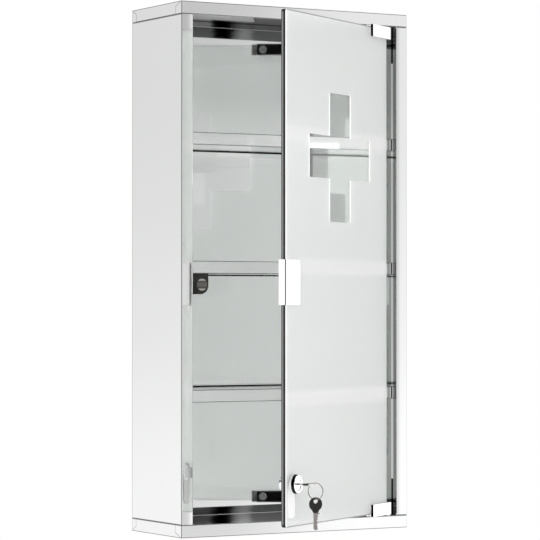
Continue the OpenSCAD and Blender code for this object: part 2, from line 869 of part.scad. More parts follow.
module lock_backplate() {
    color("white") door_turn() sheet_o(plate_o1 - plate_t, plate_o1) difference() {
        plate2d(lock_x - plate_w / 2, lock_x + plate_w / 2, lock_z - plate_down,
            lock_z + plate_up, plate_r, plate_r);
        translate([lock_x, lock_z]) circle(sleeve_r);
    }
}

module lock_nut() {
    color("silver") on_lock() difference() {
        translate([0, 0, nut_o1 - nut_t]) cylinder(h = nut_t, r = nut_r, $fn = 6);
        translate([0, 0, nut_o1 - nut_t - eps]) cylinder(h = nut_t + 2 * eps, r = sleeve_r);
    }
}

module lock_plug() {
    color("silver") on_lock() difference() {
        union() {
            translate([0, 0, -plug_in]) cylinder(h = plug_in + plug_face, r = plug_r);
            translate([-tail_s / 2, -tail_s / 2, cam_o0])
                cube([tail_s, tail_s, -cam_o0 - plug_in + 0.5]);
        }
        translate([-blade_w / 2 - key_gap, -blade_t / 2 - key_gap, keyway_in])
            cube([blade_w + 2 * key_gap, blade_t + 2 * key_gap, plug_face - keyway_in + eps]);
        translate([0, 0, cam_o0 - eps]) cylinder(h = cam_t + 1.3 + eps, r = 1.7);
    }
}

module lock_cam() {
    color("silver") on_lock() translate([0, 0, cam_o0]) linear_extrude(cam_t) difference() {
        union() {
            circle(cam_w / 2 + 1);
            rotate([0, 0, 90]) cam_arm2d();
        }
        translate([-tail_s / 2, -tail_s / 2]) square(tail_s);
    }
}

// the cam's arm, drawn down from the axis; unlocked, it points to the hinge
module cam_arm2d() {
    difference() {
        translate([-cam_w / 2, -cam_l]) square([cam_w, cam_l]);
        corner_cut(-cam_w / 2, -cam_l, 1, 1, 2);
        corner_cut(cam_w / 2, -cam_l, -1, 1, 2);
    }
}

module cam_screw() {
    color("darkgray") on_lock() {
        translate([0, 0, cam_o0 - 1.5]) cylinder(h = 1.5, r = tail_s * 0.75);
        translate([0, 0, cam_o0 - 0.5]) cylinder(h = cam_t + 1.5, r = 1.7);
    }
}

// ---------- keys: drawn with the head's middle at the origin and the blade down ----------

module key_head_shape() {
    color([0.12, 0.12, 0.12]) difference() {
        rotate([90, 0, 0]) linear_extrude(head_t, center = true) difference() {
            union() {
                circle(head_r);
                polygon([
                    [-0.6 * head_r, -0.78 * head_r], [-neck_w / 2, -blade_top],
                    [neck_w / 2, -blade_top], [0.6 * head_r, -0.78 * head_r]
                ]);
            }
            translate([0, eye_up]) circle(eye_r);
        }
        translate([-blade_w / 2, -tang_t / 2, -blade_top - eps]) cube([blade_w, tang_t, tang_l + eps]);
    }
}

// depths of the cuts along the blade, from the tip
cuts = [0.5, 1.2, 0.7, 1.3, 0.9];

module key_blade_shape() {
    z0 = -blade_top - blade_l;
    edge = blade_w / 2 + 0.1;
    color("silver") {
        difference() {
            union() {
                translate([-blade_w / 2, -blade_t / 2, z0]) cube([blade_w, blade_t, blade_l]);
                translate([0, -blade_t / 2, -blade_top - stop_h])
                    cube([blade_w / 2 + stop_w, blade_t, stop_h]);
            }
            rotate([90, 0, 0]) linear_extrude(2 * blade_t, center = true) {
                for (i = [0 : len(cuts) - 1])
                    polygon([
                        [edge, z0 + 1.9 + 2.4 * i], [edge - 0.1 - cuts[i], z0 + 2.8 + 2.4 * i],
                        [edge - 0.1 - cuts[i], z0 + 3.4 + 2.4 * i], [edge, z0 + 4.3 + 2.4 * i]
                    ]);
                polygon([[edge, z0 - 0.1], [edge - 1.3, z0 - 0.1], [edge, z0 + 1.6]]);
                polygon([[-edge, z0 - 0.1], [-edge + 1.3, z0 - 0.1], [-edge, z0 + 1.6]]);
            }
            translate([-blade_w / 4, -blade_t, z0 - eps]) cube([0.9, 0.65 * blade_t, blade_l - 1]);
        }
        translate([-blade_w / 2, -tang_t / 2, -blade_top - 0.5]) cube([blade_w, tang_t, tang_l + 0.5]);
    }
}

module in_lock() {
    door_turn() translate([lock_x, oy(head_o), lock_z]) rotate([90, 0, 0]) children();
}

module on_ring() {
    door_turn() translate([lock_x, oy(ring_o), spare_z]) rotate([0, 0, spare_turn]) children();
}

module key_head() {
    in_lock() key_head_shape();
}

module key_blade() {
    in_lock() key_blade_shape();
}

module key_ring() {
    color("silver") door_turn() translate([lock_x, oy(ring_o), ring_z]) rotate([0, 90, 0])
        rotate_extrude() translate([ring_r, 0]) circle(wire_r, $fn = 24);
}

module spare_key_head() {
    on_ring() key_head_shape();
}

module spare_key_blade() {
    on_ring() key_blade_shape();
}

top_cap();
bottom_cap();
left_side_panel();
right_side_panel();
back_panel();
ceiling_panel();
floor_panel();
upper_shelf();
middle_shelf();
lower_shelf();
shelf_rivets();
upper_bearing();
lower_bearing();
lower_washer();
catch_body();
catch_magnet();
catch_poles();
catch_screws();
door_glass();
frosting();
handle();
handle_pad();
upper_clamp();
upper_clamp_pads();
upper_clamp_cover();
upper_clamp_screw();
upper_pin();
lower_clamp();
lower_clamp_pads();
lower_clamp_cover();
lower_clamp_screw();
lower_pin();
lock_gasket();
lock_housing();
lock_backplate();
lock_nut();
lock_plug();
lock_cam();
cam_screw();
key_head();
key_blade();
key_ring();
spare_key_head();
spare_key_blade();
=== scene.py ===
"""Wall medicine cabinet in folded stainless steel with a frosted glass door.

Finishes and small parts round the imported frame. Metres, +X right, +Y into the wall, +Z up.
"""

import math

import bmesh
import bpy
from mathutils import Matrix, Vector


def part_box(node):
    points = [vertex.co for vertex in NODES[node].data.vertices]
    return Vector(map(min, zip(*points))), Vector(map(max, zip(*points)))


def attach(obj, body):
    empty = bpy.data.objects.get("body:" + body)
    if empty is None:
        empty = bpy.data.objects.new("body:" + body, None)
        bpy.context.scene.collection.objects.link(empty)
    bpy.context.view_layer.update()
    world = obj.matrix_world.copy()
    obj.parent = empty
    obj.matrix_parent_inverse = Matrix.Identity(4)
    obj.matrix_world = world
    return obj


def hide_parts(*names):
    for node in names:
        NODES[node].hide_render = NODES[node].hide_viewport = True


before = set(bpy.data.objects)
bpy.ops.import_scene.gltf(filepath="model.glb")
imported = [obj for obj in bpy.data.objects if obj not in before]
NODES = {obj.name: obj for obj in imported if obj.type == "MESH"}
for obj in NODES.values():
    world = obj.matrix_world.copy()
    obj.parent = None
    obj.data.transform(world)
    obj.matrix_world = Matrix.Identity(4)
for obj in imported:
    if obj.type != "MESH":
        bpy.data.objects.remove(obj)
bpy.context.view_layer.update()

MM = 0.001
PIVOT = Vector((0.1245, -0.1113, 0.0))
FREE_EDGE = -0.1315
OPENED = math.radians(31.45)
DOOR_OUT = Vector((math.sin(OPENED), -math.cos(OPENED), 0.0))
DOOR_ALONG = Vector((math.cos(OPENED), math.sin(OPENED), 0.0))
CLOSED_FACE = -0.1125
SHELVES = ("upper_shelf", "middle_shelf", "lower_shelf")
# places on the door in millimetres: along it from its pivot, out from its glass, and up
LOCK_ALONG, LOCK_UP = -237.9, -234.8
FOLD_ALONG, FOLD_OUT = -256.3, 0.2
BEVEL_ALONG, BEVEL_OUT = (-49.3, -48.1), (1.45, 4.2)


def door_point(x, out, z):
    """Where a place on the closed door is on the standing-open one; out is from the glass face."""
    side, front = x - PIVOT.x, CLOSED_FACE - out - PIVOT.y
    return Vector((PIVOT.x + DOOR_ALONG.x * side - DOOR_ALONG.y * front,
                   PIVOT.y + DOOR_ALONG.y * side + DOOR_ALONG.x * front, z))


# ---------------------------------------------------------------- camera

LENS, CAMERA_PLACE = 177.33, (-1.5549, -2.7279, -0.0417)
LOOKING = Vector((0.50243, 0.86452, 0.01370))


def place_camera():
    data = bpy.data.cameras.new("camera")
    data.lens = LENS
    data.sensor_width = 36.0
    data.clip_start, data.clip_end = 0.05, 60.0
    camera = bpy.data.objects.new("camera", data)
    bpy.context.scene.collection.objects.link(camera)
    camera.location = CAMERA_PLACE
    camera.rotation_mode = "QUATERNION"
    camera.rotation_quaternion = LOOKING.to_track_quat("-Z", "Y")
    bpy.context.scene.camera = camera


# ---------------------------------------------------------------- node helpers

def put(tree, kind, **values):
    """A new node with its properties, and its inputs given by name or number."""
    node = tree.nodes.new(kind)
    for key, value in values.items():
        if key == "inputs":
            for name, given in value.items():
                socket = node.inputs[name]
                if isinstance(given, bpy.types.NodeSocket):
                    tree.links.new(given, socket)
                else:
                    socket.default_value = given
        else:
            setattr(node, key, value)
    return node


def calc(tree, operation, a, b=0.0, c=0.0, clamp=False):
    node = put(tree, "ShaderNodeMath", operation=operation, use_clamp=clamp,
               inputs={0: a, 1: b, 2: c})
    return node.outputs[0]


def curve(tree, value, points):
    """A smooth curve through (position, height) points, with both from 0 to 1."""
    node = put(tree, "ShaderNodeFloatCurve", inputs={"Factor": 1.0, "Value": value})
    line = node.mapping.curves[0]
    while len(line.points) < len(points):
        line.points.new(0.5, 0.5)
    for point, (x, y) in zip(line.points, points):
        point.location = (x, y)
        point.handle_type = "AUTO_CLAMPED"
    node.mapping.update()
    return node.outputs[0]


def both(tree, *masks):
    """Where all of the masks are on."""
    product = masks[0]
    for mask in masks[1:]:
        product = calc(tree, "MULTIPLY", product, mask)
    return product


def either(tree, *masks):
    """Where any of the masks is on."""
    largest = masks[0]
    for mask in masks[1:]:
        largest = calc(tree, "MAXIMUM", largest, mask)
    return largest


def above(tree, value, limit):
    return calc(tree, "GREATER_THAN", value, limit)


def below(tree, value, limit):
    return calc(tree, "LESS_THAN", value, limit)


def between(tree, value, low, high):
    return both(tree, above(tree, value, low), below(tree, value, high))


def soft_step(tree, value, start, end, low=0.0, high=1.0):
    """Turns smoothly from low to high while a value goes from start to end."""
    return put(tree, "ShaderNodeMapRange", interpolation_type="SMOOTHSTEP", inputs={
        "Value": value, "From Min": start, "From Max": end, "To Min": low, "To Max": high}).outputs[0]


def part_place(tree):
    """Where a point of the part is, in metres."""
    return put(tree, "ShaderNodeTexCoord").outputs["Object"]


def part_axes(tree):
    return put(tree, "ShaderNodeSeparateXYZ", inputs={0: part_place(tree)}).outputs


def mirror_ray(tree):
    """On where the surface is seen in a mirror-bright one."""
    return put(tree, "ShaderNodeLightPath").outputs["Is Glossy Ray"]


# ---------------------------------------------------------------- studio

# the brightest level that either of the two curves below can hold
MOST_LIGHT = 1.5
# brightness of the studio walls round the cabinet, by compass angle from the front
WALL_LIGHT = [(-180, 0.86), (-150, 0.88), (-120, 1.0), (-95, 1.2), (-76, 1.2), (-70, 0.06),
              (-40, 0.06), (-34, 0.75), (0, 0.80), (24, 0.66), (28.4, 0.71), (30.5, 0.86), (33, 1.0),
              (40, 1.0), (75, 1.1), (90, 1.25), (120, 1.1), (150, 0.9), (180, 0.86)]
# and by height, as the upward part of the direction
HEIGHT_LIGHT = [(-1, 0.95), (-0.85, 0.9), (-0.7, 0.2), (-0.45, 0.2), (-0.3, 1.15), (-0.1, 1.16),
                (0.0, 1.0), (0.1, 0.9), (0.3, 0.9), (0.45, 0.15), (0.7, 0.15), (0.85, 0.95), (1, 1.0)]


# how much brighter the studio is through the frosting from behind, which evens it with the clear cross,
# and how much where that is seen through the cross
BEHIND_FROSTING, BEHIND_BOTH = 2.2, 3.1


def light_world():
    world = bpy.data.worlds.new("studio")
    bpy.context.scene.world = world
    world.use_nodes = True
    tree = world.node_tree
    tree.nodes.clear()
    x, y, z = put(tree, "ShaderNodeSeparateXYZ", inputs={
        0: put(tree, "ShaderNodeTexCoord").outputs["Generated"]}).outputs
    compass = calc(tree, "ARCTAN2", x, calc(tree, "MULTIPLY", y, -1.0))
    wall = curve(tree, calc(tree, "MULTIPLY_ADD", compass, 0.5 / math.pi, 0.5),
                 [(angle / 360 + 0.5, level / MOST_LIGHT) for angle, level in WALL_LIGHT])
    high = curve(tree, calc(tree, "MULTIPLY_ADD", z, 0.5, 0.5),
                 [(rise / 2 + 0.5, level / MOST_LIGHT) for rise, level in HEIGHT_LIGHT])
    mirrored = calc(tree, "MULTIPLY", calc(tree, "MULTIPLY", wall, high), MOST_LIGHT ** 2)
    path = put(tree, "ShaderNodeLightPath").outputs
    straight = both(tree, path["Is Transmission Ray"], below(tree, path["Glossy Depth"], 0.5))
    seen = calc(tree, "MAXIMUM", path["Is Camera Ray"], straight, clamp=True)
    shiny = either(tree, path["Is Glossy Ray"], path["Is Transmission Ray"])
    frosted = both(tree, above(tree, path["Transmission Depth"], 2.5), above(tree, path["Glossy Depth"], 0.5))
    twice = both(tree, frosted, above(tree, path["Transmission Depth"], 4.5))
    gain = calc(tree, "MULTIPLY_ADD", frosted, BEHIND_FROSTING - 1, 1.0)
    gain = calc(tree, "MULTIPLY_ADD", twice, BEHIND_BOTH - BEHIND_FROSTING, gain)
    soft = put(tree, "ShaderNodeMix", inputs={
        "Factor": shiny, 2: 1.0, 3: calc(tree, "MULTIPLY", mirrored, gain)})
    level = put(tree, "ShaderNodeMix", inputs={"Factor": seen, 2: soft.outputs[0], 3: 1.0})
    background = put(tree, "ShaderNodeBackground",
                     inputs={"Color": (1, 1, 1, 1), "Strength": level.outputs[0]})
    put(tree, "ShaderNodeOutputWorld", inputs={"Surface": background.outputs[0]})


# each lamp's place and watts
LAMPS = {"key": (Vector((-2.2, -2.6, 1.8)), 40), "fill": (Vector((2.6, -2.2, 0.8)), 15)}
LAMP_SIZE, LAMP_AIM = 2.4, Vector((0, -0.05, 0))


def hang_lamps():
    for name, (place, watts) in LAMPS.items():
        data = bpy.data.lights.new(name, "AREA")
        data.shape = "SQUARE"
        data.size = LAMP_SIZE
        data.energy = watts
        lamp = bpy.data.objects.new(name, data)
        bpy.context.scene.collection.objects.link(lamp)
        lamp.location = place
        lamp.rotation_mode = "QUATERNION"
        lamp.rotation_quaternion = (LAMP_AIM - place).to_track_quat("-Z", "Y")
        lamp.visible_glossy = False


FLOOR_RADIUS, FLOOR_HEIGHT, FLOOR_CORNERS = 3.0, -1.35, 96


def lay_floor():
    mesh = bpy.data.meshes.new("floor")
    turns = [i * math.tau / FLOOR_CORNERS for i in range(FLOOR_CORNERS)]
    ring = [(FLOOR_RADIUS * math.cos(turn), FLOOR_RADIUS * math.sin(turn), FLOOR_HEIGHT) for turn in turns]
    mesh.from_pydata(ring, [], [list(range(FLOOR_CORNERS))])
    floor = bpy.data.objects.new("floor", mesh)
    bpy.context.scene.collection.objects.link(floor)
    paper, tree, shader = new_material("pale floor")
    mottle = put(tree, "ShaderNodeTexNoise", inputs={"Scale": 3.0, "Detail": 2.0, "Vector": part_place(tree)})
    shade = put(tree, "ShaderNodeMix", data_type="RGBA", inputs={
        "Factor": mottle.outputs["Fac"], 6: (0.93, 0.93, 0.93, 1), 7: (0.96, 0.96, 0.96, 1)})
    tree.links.new(shade.outputs[2], shader.inputs["Base Color"])
    shader.inputs["Roughness"].default_value = 0.8
    floor.data.materials.append(paper)


# ---------------------------------------------------------------- shared effects

def effect(name, inputs, outputs):
    """An empty node group with named sockets, and its two end nodes."""
    tree = bpy.data.node_groups.new(name, "ShaderNodeTree")
    for label, kind, value in inputs:
        socket = tree.interface.new_socket(label, in_out="INPUT", socket_type=kind)
        if value is not None:
            socket.default_value = value
    for label, kind in outputs:
        tree.interface.new_socket(label, in_out="OUTPUT", socket_type=kind)
    start = tree.nodes.new("NodeGroupInput").outputs
    end = tree.nodes.new("NodeGroupOutput").inputs
    return tree, start, end


def make_rolled_grain():
    """Fine lines along one direction, with broad faint clouds of haze over them."""
    tree, start, end = effect("rolled grain", [
        ("Stretch", "NodeSocketVector", (1.0, 1.0, 1.0)),
        ("Smooth", "NodeSocketFloat", 0.1),
        ("Hazy", "NodeSocketFloat", 0.2),
        ("Light Colour", "NodeSocketColor", (0.9, 0.9, 0.9, 1)),
        ("Deep Colour", "NodeSocketColor", (0.8, 0.8, 0.8, 1)),
    ], [("Colour", "NodeSocketColor"), ("Roughness", "NodeSocketFloat"), ("Height", "NodeSocketFloat")])
    place = part_place(tree)
    stretched = put(tree, "ShaderNodeVectorMath", operation="MULTIPLY",
                    inputs={0: place, 1: start["Stretch"]}).outputs[0]
    lines = put(tree, "ShaderNodeTexNoise", inputs={"Vector": stretched, "Scale": 900.0,
                "Detail": 4.0, "Roughness": 0.6}).outputs["Fac"]
    clouds = put(tree, "ShaderNodeTexNoise", inputs={"Vector": place, "Scale": 9.0,
                 "Detail": 3.0, "Roughness": 0.5}).outputs["Fac"]
    haze = calc(tree, "MULTIPLY_ADD", calc(tree, "SUBTRACT", clouds, 0.5), 1.2,
                calc(tree, "MULTIPLY", lines, 0.9), clamp=True)
    rough = put(tree, "ShaderNodeMix", inputs={"Factor": haze, 2: start["Smooth"], 3: start["Hazy"]})
    shade = put(tree, "ShaderNodeMix", data_type="RGBA", inputs={
        "Factor": calc(tree, "MULTIPLY_ADD", lines, 0.7, calc(tree, "MULTIPLY", clouds, 0.3), clamp=True),
        6: start["Deep Colour"], 7: start["Light Colour"]})
    tree.links.new(shade.outputs[2], end["Colour"])
    tree.links.new(rough.outputs[0], end["Roughness"])
    tree.links.new(lines, end["Height"])
    return tree


def make_moulded_grain():
    """The fine pebbled skin of a moulded or dipped part, with a little unevenness."""
    tree, start, end = effect("moulded grain", [
        ("Size", "NodeSocketFloat", 900.0),
        ("Smooth", "NodeSocketFloat", 0.3),
        ("Hazy", "NodeSocketFloat", 0.5),
        ("Light Colour", "NodeSocketColor", (0.9, 0.9, 0.9, 1)),
        ("Deep Colour", "NodeSocketColor", (0.8, 0.8, 0.8, 1)),
    ], [("Colour", "NodeSocketColor"), ("Roughness", "NodeSocketFloat"), ("Height", "NodeSocketFloat")])
    place = part_place(tree)
    pebbles = put(tree, "ShaderNodeTexVoronoi", feature="SMOOTH_F1",
                  inputs={"Vector": place, "Scale": start["Size"]}).outputs["Distance"]
    clouds = put(tree, "ShaderNodeTexNoise", inputs={"Vector": place, "Scale": 60.0,
                 "Detail": 3.0}).outputs["Fac"]
    rough = put(tree, "ShaderNodeMix", inputs={"Factor": clouds, 2: start["Smooth"], 3: start["Hazy"]})
    shade = put(tree, "ShaderNodeMix", data_type="RGBA", inputs={
        "Factor": clouds, 6: start["Deep Colour"], 7: start["Light Colour"]})
    tree.links.new(shade.outputs[2], end["Colour"])
    tree.links.new(rough.outputs[0], end["Roughness"])
    tree.links.new(pebbles, end["Height"])
    return tree


def make_painted_edge_shade():
    """A thin dark line of painted shade along the edges of a folded box, where its bends reflect dark."""
    tree, start, end = effect("painted edge shade", [
        ("Low", "NodeSocketVector", None),
        ("High", "NodeSocketVector", None),
        ("Width", "NodeSocketFloat", 0.0009),
        ("Colour", "NodeSocketColor", (0.9, 0.9, 0.9, 1)),
        ("Painted Shade Colour", "NodeSocketColor", (0.3, 0.3, 0.3, 1)),
    ], [("Colour", "NodeSocketColor")])
    place = part_place(tree)
    from_low = put(tree, "ShaderNodeVectorMath", operation="SUBTRACT", inputs={0: place, 1: start["Low"]})
    from_high = put(tree, "ShaderNodeVectorMath", operation="SUBTRACT", inputs={0: start["High"], 1: place})
    nearest = put(tree, "ShaderNodeVectorMath", operation="MINIMUM",
                  inputs={0: from_low.outputs[0], 1: from_high.outputs[0]})
    x, y, z = put(tree, "ShaderNodeSeparateXYZ", inputs={0: nearest.outputs[0]}).outputs
    middle = calc(tree, "MAXIMUM", calc(tree, "MINIMUM", x, y),
                  calc(tree, "MINIMUM", calc(tree, "MAXIMUM", x, y), z))
    line = soft_step(tree, middle, calc(tree, "MULTIPLY", start["Width"], 0.7), start["Width"], 1.0, 0.0)
    shade = put(tree, "ShaderNodeMix", data_type="RGBA", inputs={
        "Factor": line, 6: start["Colour"], 7: start["Painted Shade Colour"]})
    tree.links.new(shade.outputs[2], end["Colour"])
    return tree


DEEP_BLACK = (0.012, 0.012, 0.012)
CHROME = ((0.97, 0.97, 0.97), (0.95, 0.95, 0.95), 0.03, 0.08)
EFFECTS = {}


def new_material(name):
    material = bpy.data.materials.new(name)
    material.use_nodes = True
    tree = material.node_tree
    return material, tree, tree.nodes["Principled BSDF"]


def use_effect(tree, shader, name, bump, **values):
    """Places a shared effect in a material and joins it to the shader."""
    group = put(tree, "ShaderNodeGroup", node_tree=EFFECTS[name])
    for label, value in values.items():
        group.inputs[label.replace("_", " ")].default_value = value
    tree.links.new(group.outputs["Colour"], shader.inputs["Base Color"])
    tree.links.new(group.outputs["Roughness"], shader.inputs["Roughness"])
    relief = put(tree, "ShaderNodeBump", inputs={
        "Strength": bump[0], "Distance": bump[1] * MM, "Height": group.outputs["Height"]})
    tree.links.new(relief.outputs[0], shader.inputs["Normal"])
    return group


def rolled_metal(name, light, deep, smooth, hazy, stretch=(1, 1, 1), bump=(0.1, 0.02)):
    material, tree, shader = new_material(name)
    shader.inputs["Metallic"].default_value = 1.0
    use_effect(tree, shader, "rolled grain", bump, Stretch=stretch, Smooth=smooth, Hazy=hazy,
               Light_Colour=(*light, 1), Deep_Colour=(*deep, 1))
    return material


def folded_sheet(node, stretch, line=0.9, light=(0.91, 0.92, 0.915), deep=(0.86, 0.865, 0.86),
                 smooth=0.10, hazy=0.18):
    """Bright rolled steel with the dark line of painted shade that a folded or cut edge of this part shows.
    """
    material, tree, shader = new_material("bright steel " + node.replace("_", " "))
    shader.inputs["Metallic"].default_value = 1.0
    grain = use_effect(tree, shader, "rolled grain", (0.1, 0.02), Stretch=stretch, Smooth=smooth,
                       Hazy=hazy, Light_Colour=(*light, 1), Deep_Colour=(*deep, 1))
    low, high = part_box(node)
    # painted shade: a dark line along the edges of the part's box
    edge = put(tree, "ShaderNodeGroup", node_tree=EFFECTS["painted edge shade"], inputs={
        "Low": low, "High": high, "Width": line * MM,
        "Colour": grain.outputs["Colour"], "Painted Shade Colour": (0.26, 0.265, 0.26, 1)})
    tree.links.new(edge.outputs["Colour"], shader.inputs["Base Color"])
    return material


def moulded(name, light, deep, smooth, hazy, specular=0.5):
    material, tree, shader = new_material(name)
    shader.inputs["Specular IOR Level"].default_value = specular
    use_effect(tree, shader, "moulded grain", (0.15, 0.03), Size=900.0, Smooth=smooth, Hazy=hazy,
               Light_Colour=(*light, 1), Deep_Colour=(*deep, 1))
    return material


def clear_glass(name, tint, rough, transmission=1.0):
    material, tree, shader = new_material(name)
    shader.inputs["Transmission Weight"].default_value = transmission
    shader.inputs["IOR"].default_value = 1.5
    use_effect(tree, shader, "moulded grain", (0.0, 0.01), Size=400.0, Smooth=rough[0],
               Hazy=rough[1], Light_Colour=(*tint, 1), Deep_Colour=(*[t * 0.985 for t in tint], 1))
    return material


def frosted_glass():
    """Etched glass, a little whiter in level bands in front of the shelves: painted light where the shelves
    behind show through.
    """
    material = clear_glass("frosted glass", (0.945, 0.958, 0.950), (0.30, 0.38), 0.55)
    tree = material.node_tree
    height = part_axes(tree)[2]
    # painted light: whiter bands at the shelves' heights, fixed on the door
    painted_bands = []
    for shelf in SHELVES:
        low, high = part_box(shelf)
        off = calc(tree, "ABSOLUTE", calc(tree, "SUBTRACT", height, (low.z + high.z) / 2))
        painted_bands.append(soft_step(tree, off, 4 * MM, 13 * MM, 1.0, 0.0))
    return tone(material, either(tree, *painted_bands), (1.0, 1.0, 1.0))


def front_line(name, level):
    """A painted line on the outside of the glass, which hardly shows from behind, for the painted highlights
    and painted shade at the glass's edges.
    """
    material = moulded(name, (level,) * 3, (level * 0.97,) * 3, 0.3, 0.4)
    tree = material.node_tree
    behind = put(tree, "ShaderNodeNewGeometry").outputs["Backfacing"]
    tree.links.new(calc(tree, "MULTIPLY_ADD", behind, -0.55, 1.0),
                   tree.nodes["Principled BSDF"].inputs["Alpha"])
    return material


def door_place(tree):
    """Distances in millimetres: along the door from its pivot, out from the glass, and height."""
    place = part_place(tree)
    values = []
    for start, direction in ((PIVOT, DOOR_ALONG), (door_point(PIVOT.x, 0, 0), DOOR_OUT)):
        moved = put(tree, "ShaderNodeVectorMath", operation="SUBTRACT", inputs={0: place, 1: start})
        reach = put(tree, "ShaderNodeVectorMath", operation="DOT_PRODUCT", inputs={
            0: moved.outputs[0], 1: direction}).outputs["Value"]
        values.append(calc(tree, "MULTIPLY", reach, 1000.0))
    height = put(tree, "ShaderNodeSeparateXYZ", inputs={0: place}).outputs["Z"]
    return [*values, calc(tree, "MULTIPLY", height, 1000.0)]


def distance(tree, a, b, centre_a, centre_b):
    """How far a place is from a centre, from two of its coordinates."""
    first, second = calc(tree, "SUBTRACT", a, centre_a), calc(tree, "SUBTRACT", b, centre_b)
    return calc(tree, "SQRT", calc(tree, "ADD", calc(tree, "MULTIPLY", first, first),
                                   calc(tree, "MULTIPLY", second, second)))


def tone(material, mask, colour):
    """Gives another colour to the masked part of a finished material."""
    tree = material.node_tree
    base = tree.nodes["Principled BSDF"].inputs["Base Color"]
    before = base.links[0].from_socket
    mixed = put(tree, "ShaderNodeMix", data_type="RGBA", inputs={
        "Factor": mask, 6: before, 7: (*colour, 1)})
    tree.links.new(mixed.outputs[2], base)
    return material


def plated_handle():
    """Polished plate with a painted dark reflection along its fold, left out where it is seen in a mirror."""
    material = rolled_metal("polished handle", *CHROME)
    tree = material.node_tree
    shader = tree.nodes["Principled BSDF"]
    along, out, _ = door_place(tree)
    # painted reflection: a dark non-metal line along the fold, off in mirror views
    painted_fold_reflection = both(tree, below(tree, along, FOLD_ALONG), above(tree, out, FOLD_OUT),
                calc(tree, "SUBTRACT", 1.0, mirror_ray(tree)))
    tree.links.new(calc(tree, "SUBTRACT", 1.0, painted_fold_reflection), shader.inputs["Metallic"])
    shader.inputs["Specular IOR Level"].default_value = 0.2
    return tone(material, painted_fold_reflection, (0.10, 0.10, 0.10))


def plated_clamp(name):
    """Polished casting, with painted shade in the bevel of its free end and round its knuckle."""
    material = rolled_metal(name, *CHROME)
    tree = material.node_tree
    along, out, _ = door_place(tree)
    # painted shade: black in the free end's bevel and round the knuckle
    bevel = both(tree, between(tree, along, *BEVEL_ALONG), between(tree, out, *BEVEL_OUT))
    knuckle_shade = above(tree, along, -2.0)
    return tone(material, either(tree, bevel, knuckle_shade), DEEP_BLACK)


def plated_lock():
    """Polished bezel with a painted dark reflection on the cone between its foot and its face."""
    material = rolled_metal("polished lock", *CHROME)
    tree = material.node_tree
    along, out, height = door_place(tree)
    rim = distance(tree, along, height, LOCK_ALONG, LOCK_UP)
    # painted reflection: the bezel's cone drawn black
    painted_cone_reflection = both(tree, between(tree, out, 2.9, 6.3), above(tree, rim, 9.0))
    return tone(material, painted_cone_reflection, DEEP_BLACK)


def key_plastic():
    """Black key head with painted highlights at its ends."""
    material = moulded("key plastic with painted highlights", (0.02, 0.02, 0.02), DEEP_BLACK, 0.4, 0.55, specular=0.2)
    tree = material.node_tree
    out = door_place(tree)[1]
    # painted highlight: the head's ends drawn light grey
    painted_highlight = either(tree, below(tree, out, 13.4), above(tree, out, 22.5))
    return tone(material, painted_highlight, (0.75, 0.74, 0.72))


def catch_face(name):
    """The catch's round face in a grey rim: a dull magnet between two pole plates with light tips."""
    material = moulded(name, (0.14, 0.135, 0.125), (0.11, 0.105, 0.10), 0.4, 0.55, specular=0.2)
    tree = material.node_tree
    low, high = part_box("catch_magnet")
    centre = (low + high) / 2
    x, _, z = part_axes(tree)
    off = calc(tree, "ABSOLUTE", calc(tree, "SUBTRACT", z, centre.z))
    inside = below(tree, distance(tree, x, z, centre.x, centre.z), 6.9 * MM)
    tone(material, both(tree, inside, between(tree, off, 2.6 * MM, 3.4 * MM)), (0.045, 0.045, 0.043))
    return tone(material, both(tree, inside, above(tree, off, 4.6 * MM)), (0.46, 0.45, 0.42))


def left_wall():
    """Bright steel, a little duller on the front of its fold."""
    material = folded_sheet("left_side_panel", (1, 1, 0.03), smooth=0.03, hazy=0.07)
    tree = material.node_tree
    low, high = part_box("left_side_panel")
    x, y, _ = part_axes(tree)
    front = both(tree, below(tree, y, low.y + 0.3 * MM),
                 between(tree, x, low.x + 0.9 * MM, high.x - 0.9 * MM))
    return tone(material, front, (0.80, 0.81, 0.80))


def right_wall():
    """Bright steel with painted reflections inside: a dark greenish inner face, a light streak beside the
    door's glass with black ends, and a light inner front corner.
    """
    material = folded_sheet("right_side_panel", (1, 1, 0.03), smooth=0.03, hazy=0.07)
    tree = material.node_tree
    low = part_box("right_side_panel")[0]
    x, y, z = part_axes(tree)
    inside = below(tree, x, low.x + 0.3 * MM)
    painted_streak = both(tree, inside, between(tree, y, low.y + 6.8 * MM, low.y + 11.2 * MM))
    painted_dark_ends = both(tree, painted_streak, above(tree, calc(tree, "ABSOLUTE", z), 243 * MM))
    corner = both(tree, below(tree, x, low.x + 1.3 * MM), below(tree, y, low.y + 1.3 * MM))
    # painted reflections: dark inner face, light streak, black streak ends, light corner
    for mask, colour in ((inside, (0.43, 0.45, 0.435)), (painted_streak, (0.95, 0.96, 0.95)),
                         (painted_dark_ends, (0.02, 0.02, 0.02)), (corner, (0.97, 0.97, 0.97))):
        tone(material, mask, colour)
    return material


def folded_cap(node):
    """Bright steel with painted shade in the folds of its corner tabs."""
    material = folded_sheet(node, (0.03, 1, 1))
    tree = material.node_tree
    low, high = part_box(node)
    x, y, z = part_axes(tree)
    # painted shade: a dark line in the corner tab's fold
    painted_fold_shade = both(tree, between(tree, x, low.x + 0.08 * MM, low.x + 0.5 * MM),
                  between(tree, y, low.y + 0.9 * MM, high.y - 0.9 * MM),
                  between(tree, z, low.z + 0.9 * MM, high.z - 0.9 * MM))
    return tone(material, painted_fold_shade, (0.25, 0.25, 0.25))


